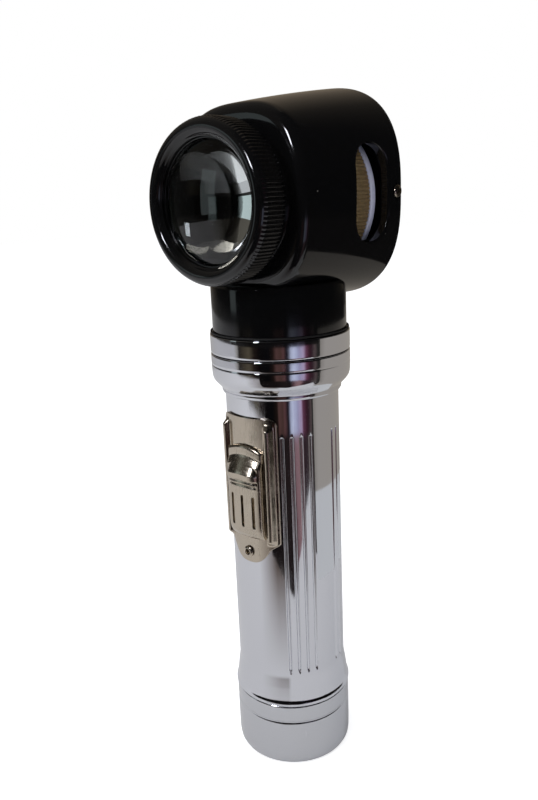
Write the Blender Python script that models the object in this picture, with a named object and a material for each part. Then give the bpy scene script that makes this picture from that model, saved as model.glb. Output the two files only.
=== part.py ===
"""Hand-held viewing instrument: a two-cell torch handle with a swivelling right-angle head.

Metres, +Z up. The origin is the middle of the tail cap's foot, the lens looks along -Y, and +X is
the side that shows a finger slot. Heights called z are along the handle. Depths called d are
measured from the handle's axis towards the lens, so y = -d. Pieces of the head are drawn about
their own axis and hang on an empty that lies on the lens axis, where local height means depth d.
"""

import math

import bmesh
import bpy
from mathutils import Vector

# ---------------------------------------------------------------- shared sizes

CLEAR = 0.0003            # gap between pieces that touch
PAST = 0.001              # how far a cutter runs past the face it opens
ROUND = 40                # sides of a turned piece that shows
SMALL_ROUND = 24          # sides of a small or inner turned piece
TINY_ROUND = 16           # sides of a screw, rivet or pin
SHARP_ANGLE = math.radians(32)

# ---------------------------------------------------------------- handle

CELL_DIA = 0.0326         # a large torch cell
CELL_LENGTH = 0.0612
CELL_CAP_DIA = 0.0095
CELL_CAP_RISE = 0.0012
CELL_BASE_THICK = 0.0005
CELL_BASE_RIM = 0.0020    # how far the base disc stays inside the case
STRIP_THICK = 0.0005
STRIP_HALF_ANGLE = math.radians(9)
TUBE_WALL = 0.0011
THREAD_WALL = 0.0009      # wall of the sleeve that the tail cap screws on
THREAD_LENGTH = 0.0090
CAP_WALL = 0.0013
CAP_FLOOR = 0.0020
CAP_HEIGHT = 0.02325
CAP_FOOT_ROUND = 0.0025
CAP_GROOVE_BELOW_RIM = 0.0063
CAP_GROOVE_DEPTH = 0.0003
CAP_GROOVE_HALF = 0.0005
SKIRT_PROUD = 0.0002      # the tube's lower swelling stands this far out past the tail cap
SKIRT_HEIGHT = 0.0105
SKIRT_CURVE = ((0.18, 0.78), (0.38, 0.60), (0.62, 0.30), (0.80, 0.08), (1.0, 0.0))   # share up, share out
SPRING_SPACE = 0.0120     # between the tail cap's floor and the lower cell
SPRING_WIRE_R = 0.00055
SPRING_TURNS = 4
SPRING_LOW_R = 0.0130
SPRING_HIGH_R = 0.0080
SPRING_POINTS = 10        # points in one turn
WASHER_THICK = 0.0008
FLUTE_ANGLES = (53.0, 111.0, 180.0, 249.0, 307.0)   # middle of each group, from the lens side
FLUTES_IN_GROUP = 4
FLUTE_PITCH = math.radians(9.55)
FLUTE_HALF = math.radians(2.0)
FLUTE_DEPTH = 0.0005
FLUTE_ABOVE_CAP = 0.0112
FLUTE_BELOW_TOP = 0.0186
FLUTE_RUN_OUT = 0.0012

# ---------------------------------------------------------------- switch

PLATE_BELOW_COLLAR = 0.0058
PLATE_THICK = 0.0006
PLATE_HALF_ANGLE = math.radians(34.5)
PLATE_EAR = 0.0073
PLATE_EAR_HALF_ANGLE = math.radians(16)
PLATE_TIP_HALF_ANGLE = math.radians(7)
PLATE_TOP_MARGIN = 0.0022
RAIL_SHARE = 0.78         # where the rail's crest lies, as a share of the plate's half angle
RAIL_HALF_SHARE = 0.14
RAIL_HEIGHT = 0.0017
RAIL_RUN_OUT = 0.0016
RIVET_ABOVE_TIP = 0.0037
RIVET_R = 0.0011
RIVET_HEAD_R = 0.0019
RIVET_HEAD = 0.0007
SLIDER_ABOVE_TIP = 0.0091
SLIDER_LENGTH = 0.0312
SLIDER_TRAVEL = 0.0065
SLIDER_HALF_ANGLE = math.radians(19.0)
SLIDER_END_THICK = 0.0006
SLIDER_THICK = 0.0019     # under the slotted panel
SLIDER_HUMP = 0.0014      # thumb hump, above the slotted panel
SLIDER_PROFILE = ((0.0, 0.0, 0.0), (0.03, 0.7, 0.0), (0.12, 1.0, 0.0), (0.53, 1.0, 0.0), (0.56, 1.0, 0.4),
                  (0.61, 1.0, 0.4), (0.63, 1.0, 0.7), (0.67, 1.0, 0.75), (0.70, 1.0, 1.0), (0.75, 1.0, 1.0),
                  (0.83, 1.0, 0.25), (0.90, 0.35, 0.0), (0.98, 0.25, 0.0), (1.0, 0.0, 0.0))
# share of the length, share of the rise to the panel, share of the hump
SLIDER_SLOTS = 3
SLIDER_SLOT_PITCH = 0.0044
SLIDER_SLOT_WIDTH = 0.0009
SLIDER_SLOT_DEPTH = 0.0008
SLIDER_SLOT_LENGTH = 0.0109
SLIDER_SLOT_UP = 0.0039
POST_HALF = 0.0018        # half the width of the slider's post
POST_TALL = 0.0050
POST_UP = 0.0136          # above the slider's lower end
BUSH_WALL = 0.0016        # fibre bush round the post's slot

# ---------------------------------------------------------------- collar and neck

COLLAR_LAP = 0.0070       # the tube's end reaches this far into the collar
COLLAR_WALL = 0.0007
COLLAR_SKIRT = 0.0014
FLARE_HEIGHT = 0.0066
COLLAR_HEIGHT = 0.0129
RING_HEIGHT = 0.0060
RING_LIP = 0.0010
GASKET_HEIGHT = 0.0006
GASKET_WALL = 0.0005
NECK_R = 0.0215
NECK_WALL = 0.0027
NECK_GROOVE = 0.0006
NECK_LENGTH = 0.0220
NECK_ROOF = 0.0030
NECK_ROUND = 0.0008
NECK_LEDGE = 0.0013
NECK_LEDGE_THICK = 0.0015
NECK_ABOVE_TUBE = 0.0025
NECK_BLEND = 0.0008       # how deep the neck's top runs into the head
THROAT_R = 0.0130

# ---------------------------------------------------------------- head

HEAD_FRONT_D = 0.0178
HEAD_FRONT_HALF_W = 0.0255
HEAD_FRONT_HALF_H = 0.0267
HEAD_REAR_HALF_W = 0.0308
HEAD_REAR_HALF_H = 0.0323
HEAD_RISE_FRONT = 0.0004  # the section's middle lies this far above the lens axis
HEAD_RISE_REAR = 0.0013
HEAD_BULGE = 0.0004
HEAD_POWER = 2.7          # exponent of the rounded-square section
HEAD_WALL = 0.0028
HEAD_FRONT_WALL = 0.0040
HEAD_LEDGE = 0.0012
HEAD_EDGE_ROUND = 0.0030
HEAD_REAR_ROUND = 0.0005
HEAD_STATIONS = 4
SHIELD_THICK = 0.0029
SHIELD_APERTURE_R = 0.0160
WHEEL_RUNNING_GAP = 0.0004
WHEEL_KNURL_WIDTH = 0.0114
WHEEL_RIBS = 135
WHEEL_RIB_DEPTH = 0.0004
WHEEL_WEB = 0.0037
WHEEL_HUB_WALL = 0.0015
GLASS_IN_SLEEVE = 0.0007  # the wheel's glass lies this far inside the sleeve's bore
WHEEL_GLASS_THICK = 0.0013
WHEEL_LIP = 0.0007
WHEEL_LIP_THICK = 0.0005
CLIP_THICK = 0.0010
CLIP_WALL = 0.0011
BAND_WIDTH = 0.0032
BAND_R_STEP = 0.0002      # the band's rim lies this far inside the knurled rim
RIM_TO_SLEEVE = 0.0056    # from the knurled rim in to the sleeve that the wheel turns on
SLEEVE_WALL = 0.0017
DETENT_GAP = 0.0025
DETENT_THICK = 0.0004
DETENT_HALF_LENGTH = 0.0060
DETENT_WIDTH = 0.0027
DETENT_POINTS = 8
COVER_THICK = 0.0036
WINDOW_SEAT = 0.0025      # ledge inside the sleeve that the rear window lies on
WINDOW_THICK = 0.0015
WINDOW_RING_THICK = 0.0010
WINDOW_RING_WALL = 0.0018
SLOT_HALF_HEIGHT = 0.01425
SLOT_FRONT_COVER = 0.0012
SLOT_REAR_MARGIN = 0.0003
SCREW_HEAD_R = 0.0019
SCREW_HEAD_HEIGHT = 0.0013
SCREW_SEAT_DEPTH = 0.0006
SCREW_R = 0.0008
SCREW_LENGTH = 0.0080
SCREW_SLOT_WIDTH = 0.0006
SCREW_SLOT_DEPTH = 0.0005

# ---------------------------------------------------------------- lens and focusing ring

NOSE_R = 0.0206
NOSE_WALL = 0.0016
FOCUS_TRAVEL = 0.0030
RING_FRONT_D = 0.0321
RING_FRONT_WALL = 0.0021
RING_REAR_D = 0.0222
RING_WALL = 0.0026
RING_RIBS = 120
RING_RIB_DEPTH = 0.0004
RING_EDGE = 0.0006
RING_APERTURE_R = 0.0169
RING_DISH = 0.0018
BARREL_LENGTH = 0.0196
BARREL_WALL = 0.0012
BARREL_LEDGE = 0.0013
BARREL_LEDGE_THICK = 0.0015
BARREL_GAP = 0.0004
LENS_EDGE_THICK = 0.0034
LENS_CURVE_R = 0.0430
LENS_BEVEL = 0.0002
LENS_STEPS = 4
RETAINER_THICK = 0.0014
RETAINER_WALL = 0.0008
PIN_R = 0.0008
PIN_BEHIND_LEDGE = 0.0007

# ---------------------------------------------------------------- lamp

LAMP_PLATE_THICK = 0.0020
SOCKET_WALL = 0.0010
SOCKET_FLANGE = 0.0020
SOCKET_FLANGE_THICK = 0.0007
SOCKET_DROP = 0.0008
LAMP_BASE_R = 0.0047
LAMP_BASE_LENGTH = 0.0088
LAMP_CONTACT_R = 0.0020
LAMP_CONTACT_DISC = 0.0011
BULB_R = 0.00575
BULB_NECK_R = 0.0028
BULB_WALL = 0.0005
BULB_STEPS = 5
FILAMENT_WIRE_R = 0.00015
FILAMENT_HALF = 0.0015
FILAMENT_STEPS = 8
REFLECTOR_WALL = 0.0007
REFLECTOR_BASE_R = 0.0068
REFLECTOR_DEPTH = 0.0066
REFLECTOR_STEPS = 4
MIRROR_THICK = 0.0007
MIRROR_HALF_WIDTH = 0.0060
MIRROR_FOOT = 0.0062
MIRROR_REACH = 0.0062
MIRROR_BELOW_APERTURE = 0.0014
MIRROR_SCREW_R = 0.0008
MIRROR_SCREW_HEAD_R = 0.0015
MIRROR_SCREW_HEAD = 0.0009

# ---------------------------------------------------------------- places worked out from the sizes

CELL_R = CELL_DIA / 2
STRIP_R = CELL_R + CLEAR
TUBE_BORE_R = STRIP_R + STRIP_THICK + CLEAR
TUBE_R = TUBE_BORE_R + TUBE_WALL
THREAD_R = TUBE_BORE_R + THREAD_WALL
CAP_R = THREAD_R + CLEAR + CAP_WALL
SKIRT_Z = CAP_HEIGHT + CLEAR
CELL_LOW_Z = CAP_FLOOR + SPRING_SPACE
CELL_HIGH_Z = CELL_LOW_Z + CELL_LENGTH + CLEAR
TUBE_TOP_Z = CELL_HIGH_Z + CELL_LENGTH + CLEAR
FLUTE_LOW_Z = SKIRT_Z + FLUTE_ABOVE_CAP
FLUTE_HIGH_Z = TUBE_TOP_Z - FLUTE_BELOW_TOP

COLLAR_LOW_Z = TUBE_TOP_Z - COLLAR_LAP
PLATE_R = TUBE_R + CLEAR
PLATE_OUT_R = PLATE_R + PLATE_THICK
PLATE_HIGH_Z = COLLAR_LOW_Z - PLATE_BELOW_COLLAR
SLIDER_R = PLATE_OUT_R + CLEAR
SLIDER_LOW_Z = PLATE_HIGH_Z - PLATE_TOP_MARGIN - SLIDER_TRAVEL - SLIDER_LENGTH
PLATE_LOW_Z = SLIDER_LOW_Z - SLIDER_ABOVE_TIP
POST_LOW_Z = SLIDER_LOW_Z + POST_UP
POST_HIGH_Z = POST_LOW_Z + POST_TALL

COLLAR_IN_R = NECK_R + CLEAR
COLLAR_R = COLLAR_IN_R + COLLAR_WALL
COLLAR_SKIRT_IN_R = TUBE_R + CLEAR
COLLAR_SKIRT_R = COLLAR_SKIRT_IN_R + COLLAR_WALL
COLLAR_TOP_Z = COLLAR_LOW_Z + COLLAR_HEIGHT
RING_LOW_Z = COLLAR_TOP_Z + CLEAR
RING_TOP_Z = RING_LOW_Z + RING_HEIGHT
LIP_LOW_Z = (RING_LOW_Z + RING_TOP_Z - RING_LIP) / 2
NECK_LOW_Z = TUBE_TOP_Z + NECK_ABOVE_TUBE
NECK_TOP_Z = NECK_LOW_Z + NECK_LENGTH
NECK_BORE_R = NECK_R - NECK_WALL
NECK_LEDGE_R = NECK_BORE_R - NECK_LEDGE
NECK_BORE_TOP_Z = NECK_TOP_Z - NECK_ROOF

SHIELD_FRONT_D = 0.0007
SHIELD_REAR_D = SHIELD_FRONT_D - SHIELD_THICK
HEAD_STEP_D = SHIELD_FRONT_D + CLEAR
WHEEL_FRONT_D = SHIELD_REAR_D - CLEAR
KNURL_REAR_D = WHEEL_FRONT_D - WHEEL_KNURL_WIDTH
BAND_FRONT_D = KNURL_REAR_D - CLEAR
BAND_REAR_D = BAND_FRONT_D - BAND_WIDTH
COVER_FRONT_D = BAND_REAR_D - DETENT_GAP
COVER_REAR_D = COVER_FRONT_D - COVER_THICK
HEAD_REAR_D = COVER_REAR_D - CLEAR
SCREW_D = (COVER_FRONT_D + COVER_REAR_D) / 2
SLOT_FRONT_D = WHEEL_FRONT_D - SLOT_FRONT_COVER
SLOT_REAR_D = BAND_REAR_D - SLOT_REAR_MARGIN


def along_head(depth):
    """Share of the way from the head's front to its rear."""
    return (HEAD_FRONT_D - depth) / (HEAD_FRONT_D - HEAD_REAR_D)


def head_half_w(depth):
    share = along_head(depth)
    taper = HEAD_FRONT_HALF_W + share * (HEAD_REAR_HALF_W - HEAD_FRONT_HALF_W)
    return taper + HEAD_BULGE * 4 * share * (1 - share)


def head_half_h(depth):
    share = along_head(depth)
    taper = HEAD_FRONT_HALF_H + share * (HEAD_REAR_HALF_H - HEAD_FRONT_HALF_H)
    return taper + HEAD_BULGE * 4 * share * (1 - share)


def head_rise(depth):
    return HEAD_RISE_FRONT + along_head(depth) * (HEAD_RISE_REAR - HEAD_RISE_FRONT)


LENS_Z = NECK_TOP_Z + head_half_h(0) - head_rise(0) - NECK_BLEND
WHEEL_R = head_half_w(WHEEL_FRONT_D) - HEAD_WALL - WHEEL_RUNNING_GAP
SLEEVE_R = WHEEL_R - RIM_TO_SLEEVE
WHEEL_BORE_R = SLEEVE_R + CLEAR
WHEEL_HUB_R = WHEEL_BORE_R + WHEEL_HUB_WALL
BAND_IN_R = WHEEL_HUB_R + CLEAR
BAND_R = WHEEL_R - BAND_R_STEP
SLEEVE_IN_R = SLEEVE_R - SLEEVE_WALL
WHEEL_GLASS_R = SLEEVE_IN_R - GLASS_IN_SLEEVE
COVER_APERTURE_R = SLEEVE_IN_R - WINDOW_SEAT
SLEEVE_FRONT_D = WHEEL_FRONT_D - WHEEL_WEB - CLEAR

NOSE_IN_R = NOSE_R - NOSE_WALL
RING_IN_R = NOSE_R + CLEAR
RING_R = RING_IN_R + RING_WALL
RING_WALL_D = RING_FRONT_D - RING_FRONT_WALL
NOSE_FRONT_D = RING_WALL_D - FOCUS_TRAVEL - CLEAR
BARREL_R = NOSE_IN_R - CLEAR
BARREL_IN_R = BARREL_R - BARREL_WALL
BARREL_FRONT_D = RING_WALL_D - BARREL_GAP
BARREL_REAR_D = BARREL_FRONT_D - BARREL_LENGTH
LENS_R = BARREL_IN_R - CLEAR


def lens_sag(radius):
    """Height of a lens face above the lens's edge."""
    rim = LENS_R - LENS_BEVEL
    reach = min(radius, rim)
    return math.sqrt(LENS_CURVE_R ** 2 - reach ** 2) - math.sqrt(LENS_CURVE_R ** 2 - rim ** 2)


RETAINER_IN_R = LENS_R - RETAINER_WALL
RETAINER_FRONT_D = BARREL_FRONT_D - CLEAR
RETAINER_REAR_D = RETAINER_FRONT_D - RETAINER_THICK
LENS_FRONT_D = RETAINER_REAR_D - CLEAR - lens_sag(RETAINER_IN_R)
LENS_REAR_D = LENS_FRONT_D - LENS_EDGE_THICK
LEDGE_IN_R = BARREL_IN_R - BARREL_LEDGE
LEDGE_FRONT_D = LENS_REAR_D - CLEAR - lens_sag(LEDGE_IN_R)
LEDGE_REAR_D = LEDGE_FRONT_D - BARREL_LEDGE_THICK
PIN_D = LEDGE_REAR_D + PIN_BEHIND_LEDGE

LAMP_PLATE_LOW_Z = NECK_LOW_Z + NECK_LEDGE_THICK + CLEAR
LAMP_PLATE_HIGH_Z = LAMP_PLATE_LOW_Z + LAMP_PLATE_THICK
SOCKET_IN_R = LAMP_BASE_R + CLEAR
SOCKET_R = SOCKET_IN_R + SOCKET_WALL
SOCKET_LOW_Z = LAMP_PLATE_LOW_Z - SOCKET_DROP
LAMP_CONTACT_TOP_Z = SOCKET_LOW_Z + CLEAR + LAMP_CONTACT_DISC
LAMP_LOW_Z = LAMP_CONTACT_TOP_Z + CLEAR
SOCKET_TOP_Z = LAMP_LOW_Z + LAMP_BASE_LENGTH - SOCKET_WALL
BULB_LOW_Z = LAMP_LOW_Z + LAMP_BASE_LENGTH + CLEAR
BULB_MIDDLE_Z = BULB_LOW_Z + math.sqrt(BULB_R ** 2 - BULB_NECK_R ** 2)
REFLECTOR_TOP_Z = NECK_BORE_TOP_Z - CLEAR
REFLECTOR_R = NECK_BORE_R - CLEAR

# ---------------------------------------------------------------- finishes: colour, roughness, metallic

FINISHES = {
    "chrome": ((0.72, 0.72, 0.74), 0.08, 1.0),
    "nickel": ((0.60, 0.55, 0.47), 0.22, 1.0),
    "brass": ((0.62, 0.45, 0.18), 0.25, 1.0),
    "steel": ((0.50, 0.50, 0.50), 0.35, 1.0),
    "phenolic": ((0.006, 0.006, 0.007), 0.12, 0.0),
    "rubber": ((0.012, 0.012, 0.012), 0.7, 0.0),
    "fibre": ((0.25, 0.06, 0.03), 0.6, 0.0),
    "ribbed brown": ((0.19, 0.13, 0.06), 0.35, 0.0),
    "ivory": ((0.60, 0.61, 0.78), 0.35, 0.0),
    "glass": ((0.90, 0.96, 0.96), 0.02, 0.0),
    "paper": ((0.10, 0.12, 0.35), 0.5, 0.0),
    "mirror": ((0.85, 0.85, 0.86), 0.04, 1.0),
}

# ---------------------------------------------------------------- ways to make a solid


def clear_scene():
    for item in list(bpy.data.objects):
        bpy.data.objects.remove(item, do_unlink=True)


def axis_empty(name, location, rotation=(0, 0, 0)):
    """Empty that lies on a joint's axis and carries the pieces that turn or slide on it."""
    empty = bpy.data.objects.new(name, None)
    empty.location = location
    empty.rotation_euler = rotation
    bpy.context.scene.collection.objects.link(empty)
    return empty


def add_mesh(name, bm, parent=None):
    bmesh.ops.recalc_face_normals(bm, faces=bm.faces)
    mesh = bpy.data.meshes.new(name)
    bm.to_mesh(mesh)
    bm.free()
    mesh.shade_smooth()
    mesh.set_sharp_from_angle(angle=SHARP_ANGLE)
    item = bpy.data.objects.new(name, mesh)
    item.parent = parent
    bpy.context.scene.collection.objects.link(item)
    return item


def dress(item, finish):
    """Give an object its own material."""
    colour, roughness, metallic = FINISHES[finish]
    material = bpy.data.materials.new(item.name)
    material.use_nodes = True
    shader = material.node_tree.nodes["Principled BSDF"]
    shader.inputs["Base Color"].default_value = (*colour, 1.0)
    shader.inputs["Roughness"].default_value = roughness
    shader.inputs["Metallic"].default_value = metallic
    if finish == "glass":
        shader.inputs["Transmission Weight"].default_value = 1.0
    item.data.materials.append(material)
    return item


def combine(item, operation, tool):
    """Cut or join an object with another, which stays behind as a wire guide."""
    tool.hide_render = True
    tool.display_type = "WIRE"
    modifier = item.modifiers.new(tool.name, "BOOLEAN")
    modifier.operation = operation
    modifier.solver = "EXACT"
    modifier.object = tool


def circle(radius, height, count=ROUND):
    """Loop of points about the local axis, or the one point on the axis."""
    if radius == 0:
        return [Vector((0, 0, height))]
    step = 2 * math.pi / count
    return [Vector((radius * math.cos(i * step), radius * math.sin(i * step), height))
            for i in range(count)]


def ribbed(radius, depth, ribs, height):
    """Loop with one crest and one valley for each rib."""
    step = math.pi / ribs
    points = []
    for i in range(2 * ribs):
        reach = radius - depth * (i % 2)
        points.append(Vector((reach * math.cos(i * step), reach * math.sin(i * step), height)))
    return points


def rounded_square(half_w, half_h, rise, height):
    """Loop on a superellipse, its middle raised along local y."""
    points = []
    for i in range(ROUND):
        angle = 2 * math.pi * i / ROUND
        cosine, sine = math.cos(angle), math.sin(angle)
        across = math.copysign(abs(cosine) ** (2 / HEAD_POWER), cosine)
        up = math.copysign(abs(sine) ** (2 / HEAD_POWER), sine)
        points.append(Vector((half_w * across, half_h * up + rise, height)))
    return points


def turn_from(start, vert):
    """Angle of a vertex about the local axis, counted from the start angle."""
    return (math.atan2(vert.co.y, vert.co.x) - start) % (2 * math.pi)


def stitch(bm, first, second):
    """Faces between two loops of vertices, whose counts may differ."""
    if len(first) == len(second):
        for i in range(len(first)):
            j = (i + 1) % len(first)
            bm.faces.new((first[i], first[j], second[j], second[i]))
        return
    if len(first) == 1 or len(second) == 1:
        tip, rim = (first[0], second) if len(first) == 1 else (second[0], first)
        for i in range(len(rim)):
            bm.faces.new((rim[i], rim[(i + 1) % len(rim)], tip))
        return
    start = math.atan2(first[0].co.y, first[0].co.x)
    turns = [[turn_from(start, vert) for vert in row[1:]] + [2 * math.pi] for row in (first, second)]
    i = j = 0
    while i < len(first) or j < len(second):
        a, b = first[i % len(first)], second[j % len(second)]
        if j == len(second) or (i < len(first) and turns[0][i] <= turns[1][j]):
            i += 1
            bm.faces.new((a, first[i % len(first)], b))
        else:
            j += 1
            bm.faces.new((a, second[j % len(second)], b))


def skin(loops, closed):
    """Solid through a row of loops: a closed row makes a ring, an open one gets two flat ends."""
    bm = bmesh.new()
    rows = [[bm.verts.new(point) for point in loop] for loop in loops]
    for first, second in zip(rows, rows[1:]):
        stitch(bm, first, second)
    if closed:
        stitch(bm, rows[-1], rows[0])
    else:
        for end in (rows[0], rows[-1]):
            if len(end) > 2:
                bm.faces.new(end)
    return bm


def turned_ring(name, outline, parent=None, count=ROUND):
    """Turned piece with a hole: the outline of (radius, height) points goes once round its section."""
    return add_mesh(name, skin([circle(r, h, count) for r, h in outline], True), parent)


def turned_disc(name, outline, parent=None, count=ROUND):
    """Turned piece without a hole: the outline of (radius, height) points runs from end to end."""
    return add_mesh(name, skin([circle(r, h, count) for r, h in outline], False), parent)


def rod(name, radius, start, end, parent=None, count=TINY_ROUND):
    """Straight round bar from one point to another."""
    start, end = Vector(start), Vector(end)
    item = turned_disc(name, [(radius, 0), (radius, (end - start).length)], parent, count)
    item.location = start
    item.rotation_euler = (end - start).to_track_quat("Z", "Y").to_euler()
    return item


def block(name, low, high, parent=None):
    """Rectangular block between two corners."""
    loops = []
    for z in (low[2], high[2]):
        loops.append([Vector((x, y, z)) for x, y in
                      ((low[0], low[1]), (high[0], low[1]), (high[0], high[1]), (low[0], high[1]))])
    return add_mesh(name, skin(loops, False), parent)


def around_tube(radius, angle, z):
    """Point on the handle at an angle from the lens side towards +X."""
    return Vector((radius * math.sin(angle), -radius * math.cos(angle), z))


def saddle(name, inner_r, stations, parent=None):
    """Solid that hugs the tube. Each station is z, a half angle and (share, outer radius) pairs."""
    loops = []
    for z, half_angle, section in stations:
        inner = [around_tube(inner_r, share * half_angle, z) for share, _ in section]
        outer = [around_tube(radius, share * half_angle, z) for share, radius in section]
        loops.append(inner + outer[::-1])
    return add_mesh(name, skin(loops, False), parent)


def quarter(radius, steps):
    """Offsets (in, along) of points on a quarter round, from flat to side."""
    points = []
    for i in range(steps + 1):
        angle = math.pi / 2 * i / steps
        points.append((radius * (1 - math.sin(angle)), radius * (1 - math.cos(angle))))
    return points


# ---------------------------------------------------------------- handle


def tube_loop(z, depth):
    """Outside of the tube at one height, its flutes pressed in by a depth."""
    stops = []
    reach = (FLUTES_IN_GROUP - 1) / 2 * FLUTE_PITCH
    for middle in FLUTE_ANGLES:
        for i in range(FLUTES_IN_GROUP):
            angle = math.radians(middle) - reach + i * FLUTE_PITCH
            stops.append((angle - FLUTE_HALF, 0.0))
            stops.append((angle - FLUTE_HALF / 2, depth))
            stops.append((angle + FLUTE_HALF / 2, depth))
            stops.append((angle + FLUTE_HALF, 0.0))
    filled = []
    for i, (angle, inset) in enumerate(stops):
        filled.append((angle, inset))
        following = stops[(i + 1) % len(stops)][0] + (2 * math.pi if i + 1 == len(stops) else 0)
        spare = int((following - angle) / FLUTE_PITCH)
        for k in range(1, spare + 1):
            filled.append((angle + (following - angle) * k / (spare + 1), 0.0))
    filled.sort(key=lambda stop: stop[0] % (2 * math.pi))
    return [around_tube(TUBE_R - inset, angle, z) for angle, inset in filled]


def tube_circle(radius, z):
    """Plain loop of the tube, which starts on the lens side as its fluted loops do."""
    return [around_tube(radius, 2 * math.pi * i / ROUND, z) for i in range(ROUND)]


def build_battery_tube():
    flute_rows = ((FLUTE_LOW_Z, 0.0), (FLUTE_LOW_Z + FLUTE_RUN_OUT, FLUTE_DEPTH),
                  (FLUTE_HIGH_Z - FLUTE_RUN_OUT, FLUTE_DEPTH), (FLUTE_HIGH_Z, 0.0))
    skirt_r = CAP_R + SKIRT_PROUD
    swell = skirt_r - TUBE_R
    low_z = SKIRT_Z - THREAD_LENGTH
    outline = [(TUBE_BORE_R, low_z), (THREAD_R, low_z), (THREAD_R, SKIRT_Z), (skirt_r, SKIRT_Z)]
    outline += [(TUBE_R + swell * rest, SKIRT_Z + SKIRT_HEIGHT * share) for share, rest in SKIRT_CURVE]
    loops = [tube_circle(r, z) for r, z in outline]
    loops += [tube_loop(z, depth) for z, depth in flute_rows]
    loops += [tube_circle(TUBE_R, TUBE_TOP_Z), tube_circle(TUBE_BORE_R, TUBE_TOP_Z)]
    tube = add_mesh("battery_tube", skin(loops, True))
    window = block("switch_window", (-POST_HALF - CLEAR - BUSH_WALL - CLEAR, -TUBE_R - PAST,
                                     POST_LOW_Z - CLEAR - BUSH_WALL - CLEAR),
                   (POST_HALF + CLEAR + BUSH_WALL + CLEAR, -TUBE_BORE_R / 2,
                    POST_HIGH_Z + SLIDER_TRAVEL + CLEAR + BUSH_WALL + CLEAR))
    combine(tube, "DIFFERENCE", window)
    rivet_z = PLATE_LOW_Z + RIVET_ABOVE_TIP
    rivet_hole = rod("rivet_hole_in_tube", RIVET_R + CLEAR, (0, -TUBE_R - PAST, rivet_z),
                     (0, -TUBE_BORE_R / 2, rivet_z))
    combine(tube, "DIFFERENCE", rivet_hole)
    dress(tube, "chrome")


def build_cell(name, low_z):
    """Torch cell: a wrapped case with a base disc below it and a contact cap on top."""
    top_z = low_z + CELL_LENGTH
    case_low_z = low_z + CELL_BASE_THICK + CLEAR
    case_high_z = top_z - CELL_CAP_RISE - CLEAR
    base_r = CELL_R - CELL_BASE_RIM
    cap_r = CELL_CAP_DIA / 2
    base = [(base_r, low_z), (base_r, low_z + CELL_BASE_THICK)]
    dress(turned_disc(name + "_base", base, None, SMALL_ROUND), "steel")
    case = [(CELL_R, case_low_z), (CELL_R, case_high_z)]
    dress(turned_disc(name + "_case", case, None, SMALL_ROUND), "paper")
    cap = [(cap_r, case_high_z + CLEAR), (cap_r, top_z)]
    dress(turned_disc(name + "_cap", cap, None, TINY_ROUND), "brass")


def build_contact_strip():
    section = [(share, STRIP_R + STRIP_THICK) for share in (-1.0, -0.33, 0.33, 1.0)]
    low = POST_LOW_Z - BUSH_WALL
    high = LAMP_PLATE_LOW_Z - CLEAR
    stations = [(low, STRIP_HALF_ANGLE, section), (high, STRIP_HALF_ANGLE, section)]
    strip = saddle("contact_strip", STRIP_R, stations)
    dress(strip, "brass")


def build_tail():
    """Tail cap with its contact washer and the cone spring that pushes the cells up."""
    axis = axis_empty("tail_cap_axis", (0, 0, 0))
    rim_z = CAP_HEIGHT
    groove_z = rim_z - CAP_GROOVE_BELOW_RIM
    cap_in_r = THREAD_R + CLEAR
    outline = [(CAP_R - inset, along) for inset, along in quarter(CAP_FOOT_ROUND, 4)]
    outline += [(CAP_R, groove_z - CAP_GROOVE_HALF), (CAP_R - CAP_GROOVE_DEPTH, groove_z),
                (CAP_R, groove_z + CAP_GROOVE_HALF), (CAP_R, rim_z), (cap_in_r, rim_z),
                (cap_in_r, CAP_FLOOR)]
    dress(turned_disc("tail_cap", outline, axis), "chrome")
    washer_low_z = CAP_FLOOR + CLEAR
    washer_r = SPRING_LOW_R + 2 * SPRING_WIRE_R
    washer = turned_disc("tail_washer", [(washer_r, washer_low_z), (washer_r, washer_low_z + WASHER_THICK)],
                         axis, SMALL_ROUND)
    dress(washer, "brass")
    low = washer_low_z + WASHER_THICK + CLEAR + SPRING_WIRE_R
    high = CELL_LOW_Z - CLEAR - SPRING_WIRE_R
    count = SPRING_TURNS * SPRING_POINTS
    curve = bpy.data.curves.new("tail_spring", "CURVE")
    curve.dimensions = "3D"
    curve.bevel_depth = SPRING_WIRE_R
    curve.bevel_resolution = 1
    curve.use_fill_caps = True
    line = curve.splines.new("POLY")
    line.points.add(count)
    for i in range(count + 1):
        share = i / count
        angle = 2 * math.pi * SPRING_TURNS * share
        radius = SPRING_LOW_R + (SPRING_HIGH_R - SPRING_LOW_R) * share
        height = low + (high - low) * share
        line.points[i].co = (radius * math.cos(angle), radius * math.sin(angle), height, 1)
    spring = bpy.data.objects.new("tail_spring", curve)
    spring.parent = axis
    bpy.context.scene.collection.objects.link(spring)
    dress(spring, "steel")
    turn_gap = math.hypot((high - low) / SPRING_TURNS, (SPRING_LOW_R - SPRING_HIGH_R) / SPRING_TURNS)
    print("tail spring: least gap between turns, mm", round((turn_gap - 2 * SPRING_WIRE_R) * 1000, 2))


# ---------------------------------------------------------------- switch


def plate_section(rail):
    """Outer radii across the switch plate, with its two rails raised by a height."""
    crest = PLATE_OUT_R + rail
    half = [(0.0, PLATE_OUT_R), (0.3, PLATE_OUT_R), (RAIL_SHARE - RAIL_HALF_SHARE, PLATE_OUT_R),
            (RAIL_SHARE - RAIL_HALF_SHARE / 2, PLATE_OUT_R + rail * 0.85), (RAIL_SHARE, crest),
            (RAIL_SHARE + RAIL_HALF_SHARE / 2, PLATE_OUT_R + rail * 0.8),
            (RAIL_SHARE + RAIL_HALF_SHARE, PLATE_OUT_R), (1.0, PLATE_OUT_R)]
    return [(-share, radius) for share, radius in half[:0:-1]] + half


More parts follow.
